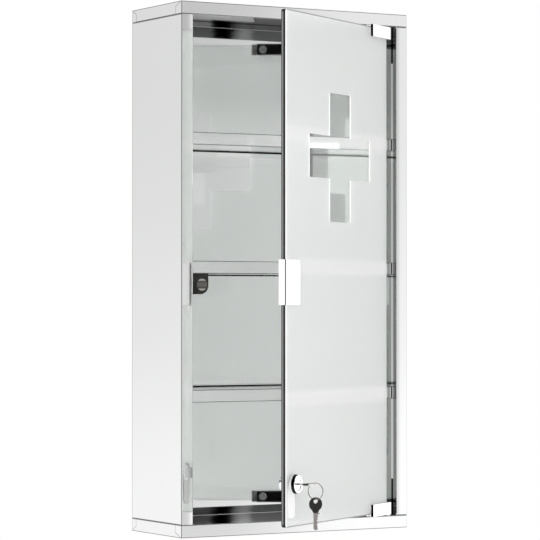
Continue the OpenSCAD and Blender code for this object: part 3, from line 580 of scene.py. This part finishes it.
def jointed_mirror():
    """Mirror sheet: darker near its top, with painted shade at each shelf and a painted highlight along the
    ceiling and floor.
    """
    material = rolled_metal("mirror steel", (0.87, 0.885, 0.875), (0.84, 0.855, 0.845),
                            0.02, 0.05, (1, 1, 0.03), (0.03, 0.01))
    tree = material.node_tree
    _, y, z = part_axes(tree)
    front = below(tree, y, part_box("back_panel")[0].y + 0.3 * MM)
    upper = both(tree, soft_step(tree, z, 160 * MM, 215 * MM), soft_step(tree, z, 268 * MM, 262 * MM), front)
    boxes = [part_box(shelf) for shelf in SHELVES]
    # painted shade: a dark line where each shelf meets the sheet
    painted_joint_shade = both(tree, front, either(tree, *[
        between(tree, z, low.z - 1.4 * MM, high.z + 1.4 * MM) for low, high in boxes]))
    ceiling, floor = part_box("ceiling_panel")[0].z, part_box("floor_panel")[1].z
    # painted highlight: a white non-metal line along the ceiling and floor
    painted_hem_highlight = both(tree, front, either(tree, above(tree, z, ceiling - 0.8 * MM),
                                   below(tree, z, floor + 0.8 * MM)))
    tree.links.new(calc(tree, "SUBTRACT", 1.0, painted_hem_highlight), tree.nodes["Principled BSDF"].inputs["Metallic"])
    for mask, colour in ((upper, (0.75, 0.765, 0.755)), (painted_joint_shade, (0.03, 0.03, 0.03)), (painted_hem_highlight, (1.0, 1.0, 1.0))):
        tone(material, mask, colour)
    return material


# how far the painted reflection's streaks lean from the depth, and the span in millimetres over which they
# change
LINING_SLANT, LINING_SPAN = -0.56, (-120.0, 80.0)


def painted_lining_reflection(tree, position, left, middle, right):
    """How light the painted reflection on the lining is across its streaks: a dark band, then a light one."""
    levels = [(-120, left), (-56, left), (-50, left * 0.7), (-44, 0.02), (-36, 0.0), (-28, 0.01),
              (-20, middle * 0.35), (-12, middle * 0.8), (-4, middle), (4, middle * 0.8),
              (12, right), (80, right)]
    low, high = LINING_SPAN
    return curve(tree, position, [((at - low) / (high - low), value) for at, value in levels])


def painted_reflection_lining(node, direct, mirrored, front, stripe):
    """Polished lining drawn as a diffuse sheet with its reflections painted in, as streaks that slant across
    it.

    direct and mirrored are how light the painted reflection is left of, in and right of the light band, seen
    straight and in the back mirror, front how light along the cabinet's front, and stripe how light in a line
    half way back.
    """
    material, tree, shader = new_material("lining with painted reflections " + node.replace("_", " "))
    place = part_place(tree)
    x, y, _ = put(tree, "ShaderNodeSeparateXYZ", inputs={0: place}).outputs
    clouds = put(tree, "ShaderNodeTexNoise", inputs={
        "Vector": place, "Scale": 30.0, "Detail": 2.0}).outputs["Fac"]
    reflected = mirror_ray(tree)
    slant = calc(tree, "MULTIPLY_ADD", reflected, -2 * LINING_SLANT, LINING_SLANT)
    across = calc(tree, "MULTIPLY", calc(tree, "MULTIPLY_ADD", y, slant, x), 1000.0)
    across = calc(tree, "ADD", across, calc(tree, "MULTIPLY_ADD", clouds, 14.0, -7.0))
    position = put(tree, "ShaderNodeMapRange", inputs={
        "Value": across, "From Min": LINING_SPAN[0], "From Max": LINING_SPAN[1]}).outputs[0]
    depth = calc(tree, "MULTIPLY", calc(tree, "SUBTRACT", y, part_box(node)[0].y), 1000.0)
    # painted reflections: the slanting streaks, a stripe half way back and a light front, slanting the other
    # way in the mirror image
    painted_streak = soft_step(tree, calc(tree, "ABSOLUTE", calc(tree, "SUBTRACT", depth, 62.0)), 3.0, 12.0, stripe)
    painted_front_light = both(tree, soft_step(tree, depth, 32.0, 52.0, 1.0, 0.0), below(tree, across, 7.0))
    seen = put(tree, "ShaderNodeMix", data_type="FLOAT", inputs={
        0: painted_front_light if front else 0.0, 2: both(tree, painted_lining_reflection(tree, position, *direct), painted_streak), 3: front})
    level = put(tree, "ShaderNodeMix", data_type="FLOAT", inputs={
        0: reflected, 2: seen.outputs[0], 3: painted_lining_reflection(tree, position, *mirrored)}).outputs[0]
    colour = put(tree, "ShaderNodeCombineColor", inputs={0: level, 1: level, 2: level})
    tree.links.new(colour.outputs[0], shader.inputs["Base Color"])
    tree.links.new(calc(tree, "MULTIPLY_ADD", clouds, 0.2, 0.5), shader.inputs["Roughness"])
    shader.inputs["Specular IOR Level"].default_value = 0.0
    return material


# how light the painted refraction on the glass's edge is through its 5 mm, from the inner face to the outer
EDGE_SHADES = ((0.0, 0.01), (0.10, 0.02), (0.17, 0.19), (0.46, 0.22), (0.54, 0.012), (1.0, 0.006))


def ground_edge(name, low, high):
    """Dark polished glass edge with painted light and shade, greyer towards the inside."""
    material, tree, shader = new_material(name)
    place = part_place(tree)
    moved = put(tree, "ShaderNodeVectorMath", operation="SUBTRACT",
                inputs={0: place, 1: door_point(FREE_EDGE, 0, 0)})
    out = put(tree, "ShaderNodeVectorMath", operation="DOT_PRODUCT",
              inputs={0: moved.outputs[0], 1: DOOR_OUT}).outputs["Value"]
    # painted refraction: bands of light and dark through the edge's thickness
    painted_bands = put(tree, "ShaderNodeValToRGB", inputs={0: calc(tree, "MULTIPLY_ADD", out, 200.0, 1.0)})
    stops = painted_bands.color_ramp.elements
    for position, level in EDGE_SHADES:
        stop = stops[0] if position == 0 else stops[-1] if position == 1 else stops.new(position)
        stop.color = (level, level, level, 1)
    height = put(tree, "ShaderNodeSeparateXYZ", inputs={0: place}).outputs["Z"]
    off = calc(tree, "ABSOLUTE", calc(tree, "SUBTRACT", height, (low.z + high.z) / 2))
    # painted shade: black near the top and bottom of the edge
    shade = put(tree, "ShaderNodeMix", data_type="RGBA", inputs={
        "Factor": above(tree, off, (high.z - low.z) / 2 - 3 * MM),
        6: painted_bands.outputs["Color"], 7: (*DEEP_BLACK, 1)})
    tree.links.new(shade.outputs[2], shader.inputs["Base Color"])
    ground = put(tree, "ShaderNodeTexNoise", inputs={
        "Vector": place, "Scale": 1500.0, "Detail": 3.0}).outputs["Fac"]
    tree.links.new(calc(tree, "MULTIPLY_ADD", ground, 0.2, 0.35), shader.inputs["Roughness"])
    relief = put(tree, "ShaderNodeBump", inputs={"Strength": 0.2, "Distance": 0.02 * MM, "Height": ground})
    tree.links.new(relief.outputs[0], shader.inputs["Normal"])
    shader.inputs["Specular IOR Level"].default_value = 0.2
    return material


def make_materials():
    EFFECTS["rolled grain"] = make_rolled_grain()
    EFFECTS["moulded grain"] = make_moulded_grain()
    EFFECTS["painted edge shade"] = make_painted_edge_shade()
    return {
        **{node: folded_cap(node) for node in ("top_cap", "bottom_cap")},
        "left_side_panel": left_wall(),
        "right_side_panel": right_wall(),
        **{node: folded_sheet(node, (0.03, 1, 1), 1.0, (0.78, 0.79, 0.785), (0.73, 0.735, 0.73))
           for node in SHELVES},
        "ceiling_panel": painted_reflection_lining("ceiling_panel", (0.6, 0.35, 0.34), (0.3, 0.9, 0.45), 1.0, 0.4),
        "floor_panel": painted_reflection_lining("floor_panel", (0.18, 0.65, 0.28), (0.14, 0.62, 0.27), 0.0, 1.0),
        "mirror sheet": jointed_mirror(),
        "glass": clear_glass("clear glass", (0.985, 0.993, 0.988), (0.0, 0.02)),
        "frosting": frosted_glass(),
        "ground edge": ground_edge("ground glass edge", *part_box("door_glass")),
        "dark rim": front_line("painted dark rim", 0.30),
        "bright line": front_line("painted bright line", 0.90),
        "white line": front_line("painted white highlight", 1.0),
        "chrome": rolled_metal("polished chrome", *CHROME),
        "handle": plated_handle(),
        "upper_clamp": plated_clamp("polished upper clamp"),
        "lower_clamp": plated_clamp("polished lower clamp"),
        "lock_housing": plated_lock(),
        "key_head": key_plastic(),
        "catch_magnet": catch_face("catch magnet face"),
        "catch_poles": catch_face("catch pole face"),
        "white plastic": moulded("white plastic", (0.88, 0.88, 0.86), (0.82, 0.82, 0.80), 0.35, 0.5),
        "black plastic": moulded("black plastic", (0.022, 0.021, 0.020), (0.013, 0.0125, 0.012), 0.4, 0.55,
                                 specular=0.2),
        "grey plastic": moulded("dark grey plastic", (0.038, 0.037, 0.033), (0.022, 0.022, 0.020), 0.4, 0.55,
                                specular=0.2),
        "clear pad": moulded("soft clear pad", (0.78, 0.80, 0.80), (0.7, 0.72, 0.72), 0.3, 0.4),
        "rubber": moulded("black rubber", (0.06, 0.06, 0.06), (0.04, 0.04, 0.04), 0.6, 0.8),
        "zinc": rolled_metal("zinc plated steel", (0.80, 0.81, 0.82), (0.66, 0.67, 0.68), 0.18, 0.34),
        "nickel": rolled_metal("nickel plate", (0.46, 0.44, 0.425), (0.26, 0.245, 0.235), 0.15, 0.28),
    }


OWN_FINISH = ("top_cap", "bottom_cap", "left_side_panel", "right_side_panel", *SHELVES,
              "ceiling_panel", "floor_panel", "handle", "upper_clamp", "lower_clamp", "lock_housing",
              "key_head", "catch_magnet", "catch_poles")
FINISH = {
    **{node: node for node in OWN_FINISH},
    "back_panel": "mirror sheet",
    "shelf_rivets": "zinc", "catch_screws": "zinc", "upper_pin": "zinc",
    "lower_pin": "zinc", "upper_clamp_screw": "zinc", "lower_clamp_screw": "zinc",
    "lock_nut": "zinc", "lock_cam": "zinc", "cam_screw": "zinc",
    "upper_bearing": "white plastic", "lower_bearing": "white plastic", "lower_washer": "white plastic",
    "catch_body": "grey plastic",
    "door_glass": "glass", "frosting": "frosting",
    "lock_plug": "chrome", "lock_backplate": "white plastic",
    "handle_pad": "clear pad", "upper_clamp_pads": "clear pad", "lower_clamp_pads": "clear pad",
    "upper_clamp_cover": "black plastic", "lower_clamp_cover": "black plastic",
    "spare_key_head": "black plastic",
    "lock_gasket": "rubber",
    "key_blade": "nickel", "spare_key_blade": "nickel", "key_ring": "nickel",
}

# width in millimetres of the broken edge on each part
EDGES = {
    "top_cap": 0.7, "bottom_cap": 0.7, **{shelf: 0.35 for shelf in SHELVES},
    "handle": 0.25, "upper_clamp": 0.25, "lower_clamp": 0.25, "catch_body": 0.3,
    "upper_clamp_cover": 0.3, "lower_clamp_cover": 0.3, "key_head": 0.35, "spare_key_head": 0.35,
    "lock_backplate": 0.2, "lock_nut": 0.3, "lock_cam": 0.2,
}


JOIN_WITHIN = 2e-6


def make_smoothing():
    """Joins the loose faces of a part and shades its gentle bends smooth."""
    tree = bpy.data.node_groups.new("smooth bends", "GeometryNodeTree")
    tree.interface.new_socket("Geometry", in_out="INPUT", socket_type="NodeSocketGeometry")
    angle = tree.interface.new_socket("Angle", in_out="INPUT", socket_type="NodeSocketFloat")
    angle.default_value = math.radians(32)
    tree.interface.new_socket("Geometry", in_out="OUTPUT", socket_type="NodeSocketGeometry")
    start = tree.nodes.new("NodeGroupInput").outputs
    end = tree.nodes.new("NodeGroupOutput").inputs
    merged = put(tree, "GeometryNodeMergeByDistance", inputs={
        "Geometry": start["Geometry"], "Distance": JOIN_WITHIN})
    smooth = put(tree, "GeometryNodeSetShadeSmooth", domain="FACE", inputs={
        0: merged.outputs[0], "Shade Smooth": True})
    edge = put(tree, "GeometryNodeInputMeshEdgeAngle")
    sharp = put(tree, "FunctionNodeCompare", data_type="FLOAT", operation="GREATER_THAN",
                inputs={0: edge.outputs["Unsigned Angle"], 1: start["Angle"]})
    crisp = put(tree, "GeometryNodeSetShadeSmooth", domain="EDGE", inputs={
        0: smooth.outputs[0], "Selection": sharp.outputs[0], "Shade Smooth": False})
    tree.links.new(crisp.outputs[0], end["Geometry"])
    return tree


def finish_parts(materials):
    smoothing = make_smoothing()
    for name, part in NODES.items():
        part.data.materials.clear()
        part.data.materials.append(materials[FINISH[name]])
        modifier = part.modifiers.new("smooth bends", "NODES")
        modifier.node_group = smoothing
        if name in EDGES:
            bevel = part.modifiers.new("broken edge", "BEVEL")
            bevel.width = EDGES[name] * MM
            bevel.segments = 2
            bevel.limit_method = "ANGLE"
            bevel.angle_limit = math.radians(40)
            bevel.harden_normals = True


# ---------------------------------------------------------------- made pieces

def new_piece(name, vertices, faces, body, slot, *stands_for):
    """A mesh piece with its place in its mesh, riding on a body."""
    mesh = bpy.data.meshes.new(name)
    mesh.from_pydata([tuple(v) for v in vertices], [], faces)
    return finish_piece(mesh, body, slot, *stands_for)


def finish_piece(mesh, body, slot, *stands_for):
    piece = bpy.data.objects.new(mesh.name, mesh)
    bpy.context.scene.collection.objects.link(piece)
    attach(piece, body)
    if stands_for:
        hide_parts(*stands_for)
    return piece


def welded_copy(node):
    """A working copy of a part's mesh with its loose triangles joined."""
    work = bmesh.new()
    work.from_mesh(NODES[node].data)
    bmesh.ops.remove_doubles(work, verts=work.verts, dist=JOIN_WITHIN)
    bmesh.ops.dissolve_limit(work, angle_limit=math.radians(0.5), verts=work.verts, edges=work.edges)
    return work


def mesh_of(work, name):
    """A clean mesh with the faces and material numbers of a working copy."""
    work.verts.index_update()
    mesh = bpy.data.meshes.new(name)
    mesh.from_pydata([v.co[:] for v in work.verts], [], [[v.index for v in f.verts] for f in work.faces])
    mesh.polygons.foreach_set("material_index", [f.material_index for f in work.faces])
    work.free()
    return mesh


def out_of(point):
    """Distance of a point in front of the outer face of the glass."""
    return (point - door_point(0, 0, 0)).dot(DOOR_OUT)


def hang_glass(materials):
    """The pane, with its ground edges finished apart from its faces."""
    work = welded_copy("door_glass")
    for face in work.faces:
        face.material_index = 0 if abs(face.normal.dot(DOOR_OUT)) > 0.9 else 1
    pane = finish_piece(mesh_of(work, "glass_pane"), "door", "glass", "door_glass")
    pane.data.materials.append(materials["glass"])
    pane.data.materials.append(materials["ground edge"])


# widths of the painted highlight along the free edge and of the painted shade along the top and bottom
RIM_SIDE, RIM_END = 3.4 * MM, 1.3 * MM
# width of the painted highlight lines at the left and right of the clear cross
CROSS_LEFT, CROSS_RIGHT = 2.2 * MM, 3.2 * MM
# how far the cross's middle is below the frosting's top, and its bars' left and right ends and half height
CROSS_DROP = 156.4 * MM
CROSS_BARS = [(-25.3 * MM, 23.9 * MM, 72.15 * MM), (-74.45 * MM, 73.05 * MM, 23.9 * MM)]
FROST_GAP = 0.02 * MM
FROST_FINISHES = ("frosting", "bright line", "dark rim", "white line")


def frost_glass(materials):
    """The frosting, just clear of the glass, with its rim and the cross's sides as painted lines: a painted
    highlight along the free edge and the cross's sides, and painted shade along the top and bottom.
    """
    work = welded_copy("frosting")
    low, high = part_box("frosting")
    for vertex in work.verts:
        if out_of(vertex.co) < FROST_GAP:
            vertex.co += DOOR_OUT * FROST_GAP
    corner = door_point(FREE_EDGE, 0, 0)
    upright = Vector((0, 0, 1))
    cuts = [(corner + DOOR_ALONG * RIM_SIDE, DOOR_ALONG),
            (upright * (high.z - RIM_END), upright), (upright * (low.z + RIM_END), upright)]
    middle = high.z - CROSS_DROP
    bars = [(door_point(left - CROSS_LEFT, 0, 0), door_point(right + CROSS_RIGHT, 0, 0), half)
            for left, right, half in CROSS_BARS]
    for left, right, half in bars:
        cuts += [(left, DOOR_ALONG), (right, DOOR_ALONG),
                 (upright * (middle + half), upright), (upright * (middle - half), upright)]
    for place, direction in cuts:
        bmesh.ops.bisect_plane(work, geom=work.verts[:] + work.edges[:] + work.faces[:],
                               plane_co=place, plane_no=direction, dist=1e-6)
    work.normal_update()
    for face in work.faces:
        if face.normal.dot(DOOR_OUT) < 0.5:
            continue
        centre = face.calc_center_median()
        # painted highlight at the free edge and the cross's sides, painted shade along the top and bottom
        if (centre - corner).dot(DOOR_ALONG) < RIM_SIDE:
            finish = "bright line"
        elif not low.z + RIM_END < centre.z < high.z - RIM_END:
            finish = "dark rim"
        elif any(abs(centre.z - middle) < half and (centre - left).dot(DOOR_ALONG) > 0
                 and (centre - right).dot(DOOR_ALONG) < 0 for left, right, half in bars):
            finish = "white line"
        else:
            finish = "frosting"
        face.material_index = FROST_FINISHES.index(finish)
    layer = finish_piece(mesh_of(work, "frosted_layer"), "door", "frosting", "frosting")
    for name in FROST_FINISHES:
        layer.data.materials.append(materials[name])


PAD_MIDDLE, PAD_SHOULDER, PAD_FOOT, PAD_RADIUS = -117.9 * MM, -241.0 * MM, -272.0 * MM, 8.2 * MM
PAD_FACES = (0.11 * MM, 0.2 * MM)
PAD_STEPS = 16


def stick_lock_pad(materials):
    """The white rounded pad below the lock."""
    turns = [i * math.pi / PAD_STEPS for i in range(PAD_STEPS + 1)]
    outline = [(PAD_MIDDLE + side * PAD_RADIUS * math.cos(turn), height + side * PAD_RADIUS * math.sin(turn))
               for side, height in ((1, PAD_SHOULDER), (-1, PAD_FOOT + PAD_RADIUS)) for turn in turns]
    count = len(outline)
    vertices = [door_point(x, out, z) for out in PAD_FACES for x, z in outline]
    faces = [tuple(range(count)), tuple(range(2 * count - 1, count - 1, -1))]
    faces += [(i, (i + 1) % count, count + (i + 1) % count, count + i) for i in range(count)]
    pad = new_piece("lock_pad", vertices, faces, "door", "white_plastic")
    fix_normals(pad.data)
    pad.data.materials.append(materials["bright line"])


def fix_normals(mesh):
    work = bmesh.new()
    work.from_mesh(mesh)
    bmesh.ops.recalc_face_normals(work, faces=work.faces)
    work.to_mesh(mesh)
    work.free()


# ---------------------------------------------------------------- repeated pieces

def shape_rule(name, inputs):
    """A geometry tree with named inputs, and its two end nodes."""
    tree = bpy.data.node_groups.new(name, "GeometryNodeTree")
    tree.interface.new_socket("Geometry", in_out="INPUT", socket_type="NodeSocketGeometry")
    for label, kind in inputs:
        tree.interface.new_socket(label, in_out="INPUT", socket_type=kind)
    tree.interface.new_socket("Geometry", in_out="OUTPUT", socket_type="NodeSocketGeometry")
    return tree, tree.nodes.new("NodeGroupInput").outputs, tree.nodes.new("NodeGroupOutput").inputs


def grow(tree, seeds, name, values):
    """Runs a geometry tree on some seed points and returns the mesh it makes."""
    seed = bpy.data.meshes.new(name + " seeds")
    seed.from_pydata([tuple(p) for p in seeds], [], [])
    holder = bpy.data.objects.new(name + " seeds", seed)
    bpy.context.scene.collection.objects.link(holder)
    modifier = holder.modifiers.new(name, "NODES")
    modifier.node_group = tree
    for item in tree.interface.items_tree:
        if item.in_out == "INPUT" and item.name in values:
            modifier[item.identifier] = values[item.name]
    bpy.context.view_layer.update()
    drawn = holder.evaluated_get(bpy.context.evaluated_depsgraph_get())
    mesh = bpy.data.meshes.new_from_object(drawn)
    mesh.name = name
    bpy.data.objects.remove(holder)
    return mesh


RIVET_RADIUS, RIVET_INSET = 3.2 * MM, 22 * MM
SHEET = 0.8 * MM
# a rivet's outline from its head to its tail: place along it, and radius in parts of its head's
RIVET_OUTLINE = [(0.0, 0.30), (0.03, 0.62), (0.10, 0.92), (0.20, 1.0), (0.22, 0.52),
                 (0.24, 0.5), (0.78, 0.5), (0.80, 0.76), (0.92, 0.74), (1.0, 0.45)]


def make_rivet_rule():
    """A domed rivet on each point, its head turned towards the middle of the cabinet."""
    tree, start, end = shape_rule("domed rivet", [
        ("Length", "NodeSocketFloat"), ("Radius", "NodeSocketFloat"), ("Material", "NodeSocketMaterial")])
    axis = put(tree, "GeometryNodeCurvePrimitiveLine", inputs={"Start": (0, 0, 0), "End": put(
        tree, "ShaderNodeCombineXYZ", inputs={"Z": start["Length"]}).outputs[0]})
    stations = put(tree, "GeometryNodeResampleCurve", inputs={"Curve": axis.outputs[0], "Count": 40})
    factor = put(tree, "GeometryNodeSplineParameter").outputs["Factor"]
    outline = curve(tree, factor, RIVET_OUTLINE)
    shaped = put(tree, "GeometryNodeSetCurveRadius", inputs={
        "Curve": stations.outputs[0], "Radius": calc(tree, "MULTIPLY", outline, start["Radius"])})
    ring = put(tree, "GeometryNodeCurvePrimitiveCircle", inputs={"Resolution": 20, "Radius": 1.0})
    rivet = put(tree, "GeometryNodeCurveToMesh", inputs={
        "Curve": shaped.outputs[0], "Profile Curve": ring.outputs[0], "Fill Caps": True})
    if "Scale" in rivet.inputs:
        radius = put(tree, "GeometryNodeInputRadius")
        tree.links.new(radius.outputs[0], rivet.inputs["Scale"])
    place = put(tree, "GeometryNodeInputPosition").outputs[0]
    outward = put(tree, "ShaderNodeVectorMath", operation="MULTIPLY", inputs={0: place, 1: (1, 0, 0)})
    turn = put(tree, "FunctionNodeAlignRotationToVector", inputs={"Vector": outward.outputs[0]}, axis="Z")
    placed = put(tree, "GeometryNodeInstanceOnPoints", inputs={
        "Points": start["Geometry"], "Instance": rivet.outputs[0], "Rotation": turn.outputs[0]})
    real = put(tree, "GeometryNodeRealizeInstances", inputs={0: placed.outputs[0]})
    smooth = put(tree, "GeometryNodeSetShadeSmooth", domain="FACE", inputs={
        0: real.outputs[0], "Shade Smooth": True})
    coated = put(tree, "GeometryNodeSetMaterial", inputs={
        0: smooth.outputs[0], "Material": start["Material"]})
    tree.links.new(coated.outputs[0], end["Geometry"])
    return tree


def set_rivets(materials):
    inner = min(abs(v.co.x) for v in NODES["shelf_rivets"].data.vertices)
    seeds = []
    for shelf in SHELVES:
        low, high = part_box(shelf)
        height = (low.z + high.z - SHEET) / 2
        seeds += [(side * inner, depth, height)
                  for depth in (low.y + RIVET_INSET, high.y - RIVET_INSET) for side in (-1, 1)]
    mesh = grow(make_rivet_rule(), seeds, "domed_rivets", {
        "Length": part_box("shelf_rivets")[1].x - inner, "Radius": RIVET_RADIUS,
        "Material": materials["zinc"]})
    finish_piece(mesh, "cabinet", "plated_steel", "shelf_rivets")


RING_WIRE, RING_TURNS = 0.9 * MM, 1.92


def make_coil_rule():
    """A flat wire wound twice round into a split ring, about the Z axis of each point."""
    tree, start, end = shape_rule("split ring", [
        ("Radius", "NodeSocketFloat"), ("Wire", "NodeSocketFloat"), ("Turns", "NodeSocketFloat"),
        ("Turn", "NodeSocketVector"), ("Material", "NodeSocketMaterial")])
    rise = calc(tree, "MULTIPLY", calc(tree, "MULTIPLY", start["Wire"], 0.52), start["Turns"])
    coil = put(tree, "GeometryNodeCurveSpiral", inputs={
        "Resolution": 72, "Rotations": start["Turns"], "Start Radius": start["Radius"],
        "End Radius": start["Radius"], "Height": rise})
    upright = put(tree, "GeometryNodeSetCurveNormal", inputs={0: coil.outputs[0]})
    upright.mode = "Z_UP"
    section = put(tree, "GeometryNodeCurvePrimitiveQuadrilateral", inputs={
        "Width": start["Wire"], "Height": calc(tree, "MULTIPLY", start["Wire"], 0.46)})
    rounded = put(tree, "GeometryNodeFilletCurve", inputs={
        0: section.outputs[0], "Radius": calc(tree, "MULTIPLY", start["Wire"], 0.14)})
    wire = put(tree, "GeometryNodeCurveToMesh", inputs={
        "Curve": upright.outputs[0], "Profile Curve": rounded.outputs[0], "Fill Caps": True})
    centred = put(tree, "GeometryNodeTransform", inputs={
        0: wire.outputs[0], "Translation": put(tree, "ShaderNodeCombineXYZ", inputs={
            "Z": calc(tree, "MULTIPLY", rise, -0.5)}).outputs[0]})
    placed = put(tree, "GeometryNodeInstanceOnPoints", inputs={
        "Points": start["Geometry"], "Instance": centred.outputs[0], "Rotation": start["Turn"]})
    real = put(tree, "GeometryNodeRealizeInstances", inputs={0: placed.outputs[0]})
    coated = put(tree, "GeometryNodeSetMaterial", inputs={
        0: real.outputs[0], "Material": start["Material"]})
    tree.links.new(coated.outputs[0], end["Geometry"])
    return tree


def wind_ring(materials):
    low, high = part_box("key_ring")
    mesh = grow(make_coil_rule(), [(low + high) / 2], "split_ring", {
        "Radius": (high.z - low.z - RING_WIRE) / 2, "Wire": RING_WIRE, "Turns": RING_TURNS,
        "Turn": (math.pi / 2, 0.0, math.pi / 2 + OPENED), "Material": materials["nickel"]})
    fix_normals(mesh)
    finish_piece(mesh, "key_ring", "nickel", "key_ring")


place_camera()
light_world()
hang_lamps()
lay_floor()
MATERIALS = make_materials()
finish_parts(MATERIALS)
hang_glass(MATERIALS)
frost_glass(MATERIALS)
stick_lock_pad(MATERIALS)
set_rivets(MATERIALS)
wind_ring(MATERIALS)

bpy.context.scene.view_settings.view_transform = "Standard"
